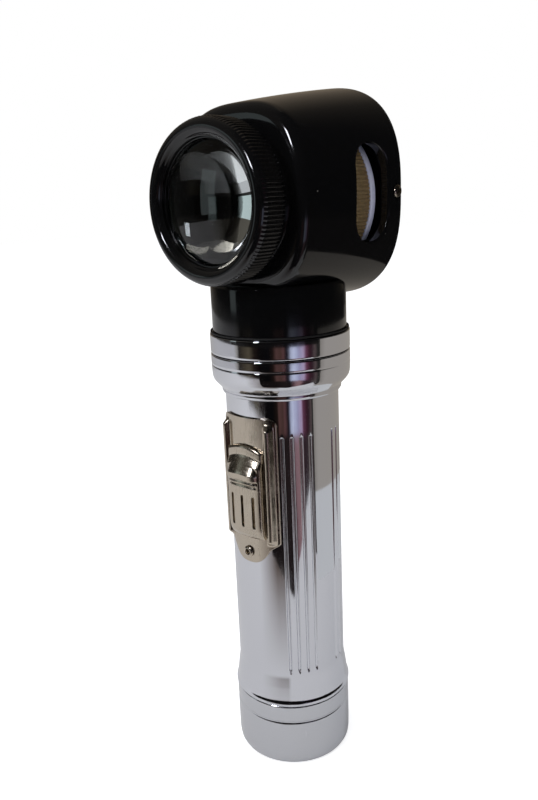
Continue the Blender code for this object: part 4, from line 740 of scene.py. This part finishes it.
def make_head():
    """One moulding: tapered rounded-square shell, nose, round neck, a rounded finger slot on each side."""
    fillet = [(HEAD_EDGE * (1 - math.sin(a)), HEAD_FRONT_D - HEAD_EDGE * (1 - math.cos(a)))
              for a in np.linspace(0, math.pi / 2, 9)]
    rear_edge = [(HEAD_REAR_EDGE * (1 - math.cos(a)), HEAD_REAR_D + HEAD_REAR_EDGE * (1 - math.sin(a)))
                 for a in np.linspace(0, math.pi / 2, 4)]
    stations = np.linspace(HEAD_REAR_D + HEAD_REAR_EDGE, HEAD_FRONT_D - HEAD_EDGE, 42)
    loops = [head_loop(d, inset, COLUMNS) for inset, d in rear_edge[::-1]]
    first_station = len(loops)
    loops += [head_loop(d, 0, COLUMNS) for d in stations[1:]]
    loops += [head_loop(d, inset, COLUMNS) for inset, d in fillet[::-1][1:]]
    # front face, nose and its bore
    inner_front = HEAD_FRONT_D - HEAD_FRONT_WALL
    loops += [round_loop(radius, depth, COLUMNS) for radius, depth in (
        (NOSE_R + 2, HEAD_FRONT_D), (NOSE_R + 0.8, HEAD_FRONT_D),
        (NOSE_R + 0.2, HEAD_FRONT_D + 0.2), (NOSE_R, HEAD_FRONT_D + 0.8),
        (NOSE_R, NOSE_FRONT_D - 0.3), (NOSE_R - 0.3, NOSE_FRONT_D), (NOSE_BORE_R, NOSE_FRONT_D),
        (NOSE_BORE_R, inner_front))]
    loops.append(head_loop(inner_front, HEAD_WALL + HEAD_LEDGE, COLUMNS))
    step_d = 1.0
    inside = [d for d in stations[::-1] if d < inner_front - 1]
    first_inside = len(loops)
    for d in inside:
        loops.append(head_loop(d, HEAD_WALL + (HEAD_LEDGE if d > step_d else 0), COLUMNS))
    loops.append(head_loop(HEAD_REAR_D, HEAD_WALL, COLUMNS))
    points = list(np.concatenate(loops))

    # the block of cells round each slot is left out and filled with rings that follow the slot's outline
    margin = SLOT_EDGE + 1.2
    out_rows, in_rows = ([first + i for i, d in enumerate(depths_there)
                          if SLOT_REAR_D - margin < d < SLOT_FRONT_D + margin]
                         for first, depths_there in ((first_station, stations[1:]), (first_inside, inside)))
    reach = SLOT_HALF_HEIGHT + margin
    right = [k for k in range(-COLUMNS // 4, COLUMNS // 4)
             if abs(loops[out_rows[0]][k % COLUMNS][1] - head_rise(-10)) < reach]
    sides = {1: right, -1: [COLUMNS // 2 - k for k in right]}
    left_out = {row * COLUMNS + k % COLUMNS for row_set in (out_rows, in_rows)
                for block_columns in sides.values() for row in range(min(row_set), max(row_set))
                for k in range(min(block_columns), max(block_columns))}
    faces = [face for face in skin_faces(len(loops), COLUMNS, True) if face[0] not in left_out]

    def chain(row_set, block_columns, side):
        """Grid points round the block, from the middle of its front edge, upwards first."""
        ups = [k % COLUMNS for k in sorted(block_columns)][::side]
        front = max(row_set, key=lambda row: loops[row][0][2])
        rear = min(row_set, key=lambda row: loops[row][0][2])
        step = 1 if rear > front else -1
        middle = len(ups) // 2
        path = [(front, k) for k in ups[middle:]]
        path += [(row, ups[-1]) for row in range(front + step, rear + step, step)]
        path += [(rear, k) for k in ups[-2::-1]]
        path += [(row, ups[0]) for row in range(rear - step, front - step, -step)]
        path += [(front, k) for k in ups[1:middle]]
        return [row * COLUMNS + k for row, k in path]

    for side, block_columns in sides.items():
        rim_loops = []
        for row_set, inset in ((out_rows, 0.0), (in_rows, HEAD_WALL)):
            edge = chain(row_set, block_columns, side)
            start = np.array([points[i] for i in edge])
            step = np.hypot(*np.diff(np.vstack((start, start[:1]))[:, 1:], axis=0).T)
            shares = np.concatenate(([0], np.cumsum(step)[:-1])) / step.sum()
            round_off = SLOT_EDGE if inset == 0 else 0.0
            up, out = slot_outline(shares, round_off)
            rings = []
            for t in np.linspace(0, 1, SLOT_RINGS)[1:]:
                y, d = start[:, 1] * (1 - t) + up * t, start[:, 2] * (1 - t) + out * t
                rings.append((y, d, 0.0))
            if round_off:
                for a in np.linspace(0, math.pi / 2, 7)[1:]:
                    y, d = slot_outline(shares, round_off * (1 - math.sin(a)))
                    rings.append((y, d, round_off * (1 - math.cos(a))))
            for y, d, sunk in rings:
                x = side * (head_side_x(y, d, inset) - sunk)
                here = list(range(len(points), len(points) + len(y)))
                points.extend(np.column_stack((x, y, d)))
                faces += band_faces(edge, here)
                edge = here
            rim_loops.append(edge)
        faces += band_faces(*rim_loops)
    shell = solid("moulded_head", on_lens_axis([np.array(points)])[0], faces)

    neck_top = NECK_LOW_Z + NECK_HEIGHT
    groove_r, groove_half, groove_z = NECK_R - NECK_GROOVE, 0.8, sum(heights("collar_ring")) / 2
    neck = lathe("neck", [(0.2, NECK_LOW_Z), (NECK_R, NECK_LOW_Z, 0.4),
                          (NECK_R, groove_z - groove_half), (groove_r, groove_z - groove_half),
                          (groove_r, groove_z + groove_half), (NECK_R, groove_z + groove_half),
                          (NECK_R, neck_top, NECK_ROUND), (0.2, neck_top)], COLUMNS, ring=False)
    room = [head_loop(d, HEAD_WALL / 2, 96) for d in (HEAD_REAR_D - 1, 0, inner_front + 2)]
    combine(neck, loops_to_piece("head_room", on_lens_axis(room), False), "DIFFERENCE")
    combine(shell, neck, "UNION")
    ledge_z, roof_z = NECK_LOW_Z + NECK_LEDGE_THICK, NECK_LOW_Z + NECK_BORE_HEIGHT
    bore = lathe("neck_bore", [(0.2, NECK_LOW_Z - 1), (NECK_LEDGE_R, NECK_LOW_Z - 1),
                               (NECK_LEDGE_R, ledge_z), (NECK_BORE_R, ledge_z), (NECK_BORE_R, roof_z),
                               (THROAT_R, roof_z), (THROAT_R, neck_top + HEAD_WALL + 1),
                               (0.2, neck_top + HEAD_WALL + 1)], 96, ring=False)
    combine(shell, bore, "DIFFERENCE")
    cut_screw_seats(shell)
    dress(shell, "black_phenolic", "head", ["head_body"], 32)


COVER_SCREWS = ((1, "cover_screw_right", "right_screw"), (-1, "cover_screw_left", "left_screw"))
SCREW_TILT = 0.5


def screw_middle(node):
    low, high = box_of(node)
    return Vector((0, (low.y + high.y) / 2, (low.z + high.z) / 2))


def sideways(piece, side, middle):
    """Lays a piece turned round +Z along the X axis, at a screw's place."""
    piece.data.transform(Matrix.Translation(middle * MM) @ Matrix.Rotation(side * math.pi / 2, 4, "Y"))
    return piece


def cut_screw_seats(piece):
    """Cuts the cover screws' clearance holes and the flats that their heads sit on."""
    for side, node, name in COVER_SCREWS:
        head_low = abs(box_of(node)[1 if side > 0 else 0].x) - SEAT_DEPTH
        corners = [(0.1, 20), (1.1, 20), (1.1, head_low), (SEAT_R, head_low),
                   (SEAT_R, head_low + 4), (0.1, head_low + 4)]
        cutter = lathe("screw_seat", corners, 48, ring=False)
        combine(piece, sideways(cutter, side, screw_middle(node)), "DIFFERENCE")


def make_cover_screws():
    """Small slotted nickel screws with a domed head."""
    for side, node, name in COVER_SCREWS:
        low, high = box_of(node)
        top, tip = (high.x, low.x) if side > 0 else (-low.x, -high.x)
        head_r, shank = (high.y - low.y) / 2, 0.8
        corners = [(0.1, tip), (shank, tip, 0.2), (shank, top - 1.3),
                   (head_r, top - 1.3, 0.15), (head_r, top - 0.6, 0.7),
                   (0.1, top, 0.3)]
        middle, reach = screw_middle(node), head_r + 1
        screw = sideways(lathe(name, corners, 48, ring=False), side, middle)
        ends = sorted((side * (top - 0.55), side * (top + 1)))
        slot = block("screw_slot", (ends[0], -reach, -0.3), (ends[1], reach, 0.3))
        slot.data.transform(Matrix.Translation(middle * MM) @ Matrix.Rotation(SCREW_TILT, 4, "X"))
        dress(combine(screw, slot, "DIFFERENCE"), "warm_nickel", "head", [node], 30)


def make_rear_cover():
    """Cover plugged into the head's back, with the eyepiece opening and the wheel's sleeve."""
    rear, sleeve_front = depths("rear_cover")
    face = rear + 3.6
    fit = HEAD_WALL + 0.3
    sleeve_in, sleeve_out, opening = 18.0, WHEEL_R - 5.6, 15.5
    count, round_off = 240, 0.2
    loops = [head_loop(depth, inset, count) for inset, depth in (
        (fit, face), (fit, rear + 0.5), (fit + 0.15, rear + 0.15), (fit + 0.5, rear))]
    loops += [round_loop(radius, depth, count) for radius, depth in (
        (opening + 3.2, rear), (opening + 2.6, rear + 0.15),
        (opening + 0.5, rear + 1.3), (opening, rear + 1.7), (opening, face),
        (sleeve_in, face), (sleeve_in, sleeve_front - round_off), (sleeve_in + round_off, sleeve_front),
        (sleeve_out - round_off, sleeve_front), (sleeve_out, sleeve_front - round_off), (sleeve_out, face))]
    piece = loops_to_piece("rear_plug", on_lens_axis(loops), True)
    cut_screw_seats(piece)
    dress(piece, "black_phenolic", "head", ["rear_cover"], 32)

    low, high = depths("rear_window")
    pane_r = radius_of("rear_window")
    corners = [(0.2, low), (pane_r, low, 0.2), (pane_r, high, 0.2), (0.2, high)]
    dress(lathe("eyepiece_pane", corners, 128, ring=False, lens_axis=True), "clear_glass", "head",
          ["rear_window"])
    low, high = depths("window_ring")
    corners = [(pane_r - 1.8, low, 0.2), (pane_r, low, 0.1), (pane_r, high, 0.1),
               (pane_r - 1.8, high, 0.2)]
    dress(lathe("pane_ring", corners, 128, lens_axis=True), "warm_nickel", "head", ["window_ring"])


# ---------------------------------------------------------------- lens, focusing ring and wheel


def make_focus_ring():
    """Moulded ring with a ribbed grip, a broad rounded front and a bevelled opening."""
    rear, front = depths("focus_ring")
    ribs, rib_depth = 120, 0.42
    grip_r, bore, opening = RING_R, 20.9, 18.0
    wall = front - 2.1
    corners = [(bore, rear, 0.2), (grip_r - 0.9, rear, 0.2),
               (grip_r - 0.1, rear + 0.5, 0.4, 0.3), (grip_r, rear + 0.9, 0.2, 1),
               (grip_r, front - 2.9, 0.6, 1),
               (grip_r - 0.4, front - 1.9, 0.9, 0.45),
               (grip_r - 1.1, front - 0.7, 0.9), (grip_r - 2.4, front, 1.1),
               (grip_r - 3.6, front - 0.15, 1.0),
               (opening + 0.9, front - 0.8, 0.7),
               (opening + 0.3, front - 1.7, 0.5), (opening, front - 1.9, 0.2),
               (opening, wall, 0.1), (bore, wall, 0.1)]
    piece = lathe("ribbed_ring", corners, ribs * 10, lens_axis=True, ribs=ribs, rib_depth=rib_depth)
    dress(piece, "black_phenolic", "focus_ring", ["focus_ring"], 50)


def make_lens():
    """Ground magnifying lens, bulging on both faces, with the threaded ring that holds it."""
    rear, front = depths("front_lens")
    curve, edge_half, rim_r = 58, 1.6, LENS_R + 0.85
    middle = (rear + front) / 2 + 1.2
    sag = [(r, math.sqrt(curve ** 2 - r ** 2) - math.sqrt(curve ** 2 - rim_r ** 2))
           for r in np.linspace(0.15, rim_r - 0.15, 26)]
    outline = [(r, middle - edge_half - s) for r, s in sag]
    outline += [(rim_r, middle - edge_half + 0.15), (rim_r, middle + edge_half - 0.15)]
    outline += [(r, middle + edge_half + s) for r, s in sag[::-1]]
    loops = turned([(r, h, 0) for r, h in outline], 192)
    dress(loops_to_piece("magnifier", on_lens_axis(loops), False), "clear_glass", "lens_carriage",
          ["front_lens"], 40)
    rear, front = depths("lens_barrel")
    barrel_r, seat_d = radius_of("lens_barrel"), middle - edge_half - 0.3
    bore = barrel_r - 1.2
    corners = [(bore, rear), (barrel_r, rear, 0.2), (barrel_r, front, 0.2),
               (rim_r + 0.1, front, 0.1), (rim_r + 0.1, seat_d), (bore, seat_d)]
    dress(lathe("lens_tube", corners, 192, lens_axis=True), "black_phenolic", "lens_carriage",
          ["lens_barrel"])
    rear, out_r = middle + edge_half, rim_r + 0.02
    corners = [(out_r - 0.5, rear, 0.1), (out_r, rear), (out_r, rear + 0.9, 0.1),
               (out_r - 0.5, rear + 0.9, 0.2)]
    dress(lathe("lens_holder", corners, 192, lens_axis=True), "black_phenolic", "lens_carriage",
          ["lens_retainer"])


def make_wheel():
    """Thumb wheel with rounded ribs across its rim, and the smooth pale band behind it."""
    rear, front = depths("selector_wheel")
    ribs, rib_depth, rim_r = 135, 0.42, WHEEL_R + WHEEL_PROUD
    knurl_rear = front - 12.1
    hub_in, hub_out = WHEEL_R - 5.3, WHEEL_R - 3.8
    web, seat = front - 3.7, 17.6
    corners = [(seat, web), (hub_in, web), (hub_in, rear, 0.1), (hub_out, rear, 0.1),
               (hub_out, knurl_rear), (rim_r - 0.7, knurl_rear, 0.1),
               (rim_r, knurl_rear + 0.5, 0.3, 1), (rim_r, front - 0.5, 0.3, 1),
               (rim_r - 0.7, front, 0.1), (seat - 0.7, front),
               (seat - 0.7, front - 0.5), (seat, front - 0.5)]
    piece = lathe("ribbed_wheel", corners, ribs * 8, lens_axis=True, ribs=ribs, rib_depth=rib_depth)
    dress(piece, "brown_phenolic", "selector_wheel", ["selector_wheel"], 50)
    rear, front = depths("index_band")
    band_r, front = BAND_R + WHEEL_PROUD, knurl_rear - 0.25
    corners = [(hub_out + 0.3, rear), (band_r, rear, 0.5), (band_r, front, 0.5),
               (hub_out + 0.3, front)]
    dress(lathe("pale_band", corners, 192, lens_axis=True), "ivory_plastic", "selector_wheel",
          ["index_band"])


for make in (make_tube, make_cap, make_collar, make_housing, make_eyelet, make_slide, make_head,
             make_cover_screws, make_rear_cover, make_focus_ring, make_lens, make_wheel):
    make()

# the hidden works keep their solids, and their slots name their finishes
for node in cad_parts.values():
    if not node.hide_render:
        for i, material in enumerate(node.data.materials):
            node.data.materials[i] = FINISHES[material.name.split(".")[0]]

# ---------------------------------------------------------------- stage

CAMERA_PLACE = Vector((160.05, -186.2, 189.5)) * MM
CAMERA_LENS = 34.58
CAMERA_TURN, CAMERA_YAW, CAMERA_PITCH, CAMERA_ROLL = math.radians(40.68), -0.018, 0.254, 0.043


def make_camera():
    pitch_c, pitch_s = math.cos(CAMERA_PITCH), math.sin(CAMERA_PITCH)
    yaw_c, yaw_s = math.cos(CAMERA_YAW), math.sin(CAMERA_YAW)
    forward = Vector((pitch_c * yaw_s, pitch_c * yaw_c, -pitch_s))
    level_up = Vector((pitch_s * yaw_s, pitch_s * yaw_c, pitch_c))
    level_right = Vector((yaw_c, -yaw_s, 0))
    roll_c, roll_s = math.cos(CAMERA_ROLL), math.sin(CAMERA_ROLL)
    right = roll_c * level_right - roll_s * level_up
    up = roll_s * level_right + roll_c * level_up
    turn = Matrix.Rotation(CAMERA_TURN, 3, "Z")
    axes = Matrix([turn @ right, turn @ up, turn @ -forward]).transposed().to_4x4()
    camera = placed("camera", bpy.data.cameras.new("camera"))
    camera.data.lens, camera.data.sensor_width, camera.data.sensor_fit = CAMERA_LENS, 36, "AUTO"
    camera.data.clip_start, camera.data.clip_end = 0.005, 20
    camera.matrix_world = Matrix.Translation(CAMERA_PLACE) @ axes
    bpy.context.scene.camera = camera


PAPER_LIFT = 0.75        # what the paper adds to its own light, so that the camera meets plain white
WAVER = 0.016            # how far the screens' edges waver, in turns


def seen(tree, by_camera, in_gloss):
    """Strength that the camera meets, that gloss and glass meet, and none for the light on the object."""
    path = add(tree, "ShaderNodeLightPath").outputs
    shiny = add(tree, "ShaderNodeMath", {0: path["Is Glossy Ray"], 1: path["Is Transmission Ray"]},
                operation="MAXIMUM")
    shiny = add(tree, "ShaderNodeMath", {0: shiny.outputs[0], 1: in_gloss}, operation="MULTIPLY")
    plain = add(tree, "ShaderNodeMath", {0: path["Is Camera Ray"], 1: by_camera}, operation="MULTIPLY")
    return add(tree, "ShaderNodeMath", {0: shiny.outputs[0], 1: plain.outputs[0]},
               operation="MAXIMUM").outputs[0]


def make_floor():
    """White paper: it keeps a soft shadow, and is lifted to plain white where the camera sees it."""
    far, low = 4.0, -0.1 * MM
    mesh = bpy.data.meshes.new("paper")
    mesh.from_pydata([(-far, -far, low), (far, -far, low), (far, far, low), (-far, far, low)], [],
                     [(0, 1, 2, 3)])
    floor = placed("paper", mesh)
    material, tree = blank("white_paper")
    diffuse = add(tree, "ShaderNodeBsdfDiffuse", {"Color": linear("#c6c8cb")})
    glow = add(tree, "ShaderNodeEmission",
               {"Color": linear("#ffffff"), "Strength": seen(tree, PAPER_LIFT, 0.06)})
    surface(tree, add(tree, "ShaderNodeAddShader", {0: diffuse.outputs[0], 1: glow.outputs[0]}))
    mesh.materials.append(material)


def make_screen(name, bearings, rows, stops, fade=None):
    """A screen round the object that only gloss and glass see, painted by bearing, right of the camera.

    rows are (distance, height), and a distance may follow the bearing. stops are (bearing, colour). fade is
    (near, far, bearings) for a screen that thickens from one distance to the other and thins at its sides.
    """
    def share(bearing):
        return bearing / 360 + 0.5 + WAVER / 2

    spots = np.arange(bearings[0], bearings[1] + 0.1, 2.0)
    points = []
    for distance, height in rows:
        far = np.interp(spots, *distance) if isinstance(distance, tuple) else np.full(len(spots), distance)
        points += [(f * math.cos(math.radians(b)), f * math.sin(math.radians(b)), height)
                   for f, b in zip(far, spots)]
    count = len(spots)
    starts = [row * count + i for row in range(len(rows) - 1) for i in range(count - 1)]
    faces = [(start, start + 1, start + count + 1, start + count) for start in starts]
    mesh = bpy.data.meshes.new(name)
    mesh.from_pydata(points, [], faces)
    screen = placed(name, mesh)
    screen.rotation_euler.z = CAMERA_TURN - math.pi / 2
    material, tree = blank(name)
    place = add(tree, "ShaderNodeTexCoord").outputs["Object"]
    waver = add(tree, "ShaderNodeTexNoise", {"Vector": place, "Scale": 9.0, "Detail": 2.0}).outputs[0]
    turn = add(tree, "ShaderNodeTexGradient", {"Vector": place}, gradient_type="RADIAL").outputs["Fac"]
    drift = add(tree, "ShaderNodeMath", {0: waver, 1: WAVER}, operation="MULTIPLY").outputs[0]
    shifted = add(tree, "ShaderNodeMath", {0: turn, 1: drift}, operation="ADD").outputs[0]
    ramp = add(tree, "ShaderNodeValToRGB", {"Fac": shifted})
    elements = ramp.color_ramp.elements
    while len(elements) < len(stops):
        elements.new(0.5)
    for element, (bearing, colour) in zip(elements, stops):
        element.position, element.color = share(bearing), linear(colour)
    shown = add(tree, "ShaderNodeEmission", {"Color": ramp.outputs[0], "Strength": 1.0})
    if fade:
        near, far, sides = fade
        away = add(tree, "ShaderNodeVectorMath", {0: place}, operation="LENGTH").outputs["Value"]
        turns = [share(side) for side in sides]
        thick = 1.0
        for value, start, end in ((away, near, far), (shifted, turns[0], turns[1]),
                                  (shifted, turns[3], turns[2])):
            ramp_up = add(tree, "ShaderNodeMapRange", {"Value": value, "From Min": start, "From Max": end})
            thick = add(tree, "ShaderNodeMath", {0: thick, 1: ramp_up.outputs[0]},
                        operation="MULTIPLY").outputs[0]
        clear = add(tree, "ShaderNodeBsdfTransparent")
        shown = add(tree, "ShaderNodeMixShader", {0: thick, 1: clear.outputs[0], 2: shown.outputs[0]})
    surface(tree, shown)
    mesh.materials.append(material)
    screen.visible_camera = screen.visible_diffuse = screen.visible_shadow = False


# where the white paper ends and the room begins, as the tube mirrors it: bearings and metres
PAPER_EDGE = ((-180, -84, -74, -70, -50, -36, -32, -21, -8, 1, 8, 13, 23, 36, 48, 53, 58, 180),
              (0.6, 0.6, 0.57, 0.51, 0.458, 0.443, 0.18, 0.165, 0.151, 0.141, 0.132, 0.14, 0.173, 0.225,
               0.28, 0.32, 0.175, 0.175))
ROUND = (-180, 180)
ROOM_REACH = 2.2
WALL_TOP = 0.75

# name, bearings, rows and stops of each screen, and how it fades
SCREENS = (
    ("room_floor", ROUND, [(PAPER_EDGE, 0.3 * MM), (ROOM_REACH, 0.4 * MM)],
     [(-180, "#a9a7a4"), (-120, "#bcbcbf"), (-80, "#b9b9bd"), (-74, "#9a9894"), (-70, "#2b2724"),
      (-52, "#524b3e"), (-43, "#211a17"), (-34, "#0d0b0c"), (-19, "#0a0a0c"), (-12, "#1d1512"),
      (-7, "#553d3a"), (0, "#4a3531"), (4, "#5c4040"), (8, "#221b20"), (12, "#2a2730"), (15, "#aeb4cc"),
      (20, "#cbd2eb"), (24, "#b9bedb"), (29, "#a09fbe"), (36, "#b9a6c4"), (40, "#6d4258"), (46, "#3a2029"),
      (51, "#33232a"), (56, "#584c4c"), (60, "#2b2928"), (140, "#2b2928"), (150, "#8a857f"),
      (179, "#a39d94")]),
    ("far_floor", ROUND, [(1.35, 0.6 * MM), (ROOM_REACH, 0.6 * MM)],
     [(-180, "#8a857f"), (-120, "#4a4846"), (-80, "#2b2a2a"), (-50, "#141312"), (10, "#0f0f11"),
      (18, "#3a3c48"), (34, "#2c2a33"), (42, "#121012"), (60, "#1a1918"), (140, "#2b2928"),
      (179, "#8a857f")]),
    ("room_walls", ROUND, [(ROOM_REACH, 0.4 * MM), (ROOM_REACH, WALL_TOP)],
     [(-180, "#928673"), (-150, "#6d6459"), (-120, "#2c2b2a"), (-60, "#0d0d0d"), (60, "#0d0d0e"),
      (100, "#1a1a1b"), (125, "#38352f"), (150, "#6c6254"), (179, "#928673")]),
    ("room_roof", ROUND, [(ROOM_REACH, WALL_TOP), (1.7, 1.6), (0.02, 2.0)],
     [(-180, "#85796a"), (-150, "#5f5a53"), (-120, "#605c56"), (-90, "#56524c"), (-70, "#4a4641"),
      (-32, "#222120"), (60, "#131313"), (100, "#1b1a1a"), (140, "#4f4941"), (179, "#85796a")]),
    # a pale panel close on the right, and the paper below it
    ("side_panel", (54, 150), [(0.060, 0.082), (0.060, 0.1465)],
     [(54, "#8e8983"), (62, "#a39e98"), (150, "#a39d94")]),
    ("side_paper", (54, 150), [(0.060, 0.045), (0.060, 0.082)], [(54, "#c9cbcd"), (150, "#c9cbcd")]),
    # the floor just past the paper is darker than further out
    ("near_floor", (-34, 58), [(PAPER_EDGE, 0.5 * MM), (0.40, 0.5 * MM)],
     [(-34, "#161314"), (-8, "#191414"), (5, "#231c1c"), (14, "#1c1819"), (19, "#5a4448"),
      (24, "#8a6c70"), (30, "#8f7073"), (34, "#4a3439"), (40, "#2c2226"), (47, "#3c3235"),
      (58, "#5a5552")]),
    # soft brown shade on the paper, which the lower tube shows as a column
    ("warm_shade", (-62, 0), [(0.06, 0.2 * MM), (PAPER_EDGE, 0.2 * MM)],
     [(-62, "#6a5c52"), (0, "#5d5049")], (0.07, 0.165, (-60, -22, -9, -3))),
    # narrow bright window on the left, which the lens gathers into its crescent
    ("window_beside", (-87, -75), [(1.5, 0.05), (1.5, 0.6)], [(-87, "#b4c1c2"), (-75, "#bccacb")]),
)

# name, bearing and climb in degrees, distance, size, watts, colour, and whether gloss shows it
LAMPS = (
    ("window_light", -41, 29, 1.3, (0.16, 0.34), 5.0, "#f2f5ff", True),
    ("ceiling_light", -60, 68, 1.4, (0.9, 0.9), 9.0, "#fff6ea", False),
)


def make_light():
    """A plain white world that lights softly, a window whose image the gloss shows, and a ceiling light."""
    world = bpy.data.worlds.new("room_light")
    world.use_nodes = True
    tree = world.node_tree
    tree.nodes.clear()
    fill = add(tree, "ShaderNodeBackground", {"Color": linear("#f4f4f7"), "Strength": 0.62})
    white = add(tree, "ShaderNodeBackground", {"Color": linear("#ffffff"), "Strength": 1.0})
    both = add(tree, "ShaderNodeMixShader",
               {0: seen(tree, 1.0, 1.0), 1: fill.outputs[0], 2: white.outputs[0]})
    add(tree, "ShaderNodeOutputWorld", {"Surface": both.outputs[0]})
    bpy.context.scene.world = world
    middle = Vector((0, 0, 0.12))
    for name, bearing, climb, far, size, power, colour, shows in LAMPS:
        lamp = bpy.data.lights.new(name, "AREA")
        lamp.shape, lamp.size, lamp.size_y = "RECTANGLE", size[0], size[1]
        lamp.energy, lamp.color = power, linear(colour)[:3]
        place = placed(name, lamp)
        turn, up = CAMERA_TURN + math.radians(bearing), math.radians(climb)
        aim = Vector((math.sin(turn) * math.cos(up), -math.cos(turn) * math.cos(up), math.sin(up)))
        place.matrix_world = (Matrix.Translation(middle + aim * far)
                              @ aim.to_track_quat("Z", "Y").to_matrix().to_4x4())
        place.visible_glossy = shows


make_camera()
make_floor()
for screen in SCREENS:
    make_screen(*screen)
make_light()
bpy.context.scene.view_settings.view_transform = "Standard"
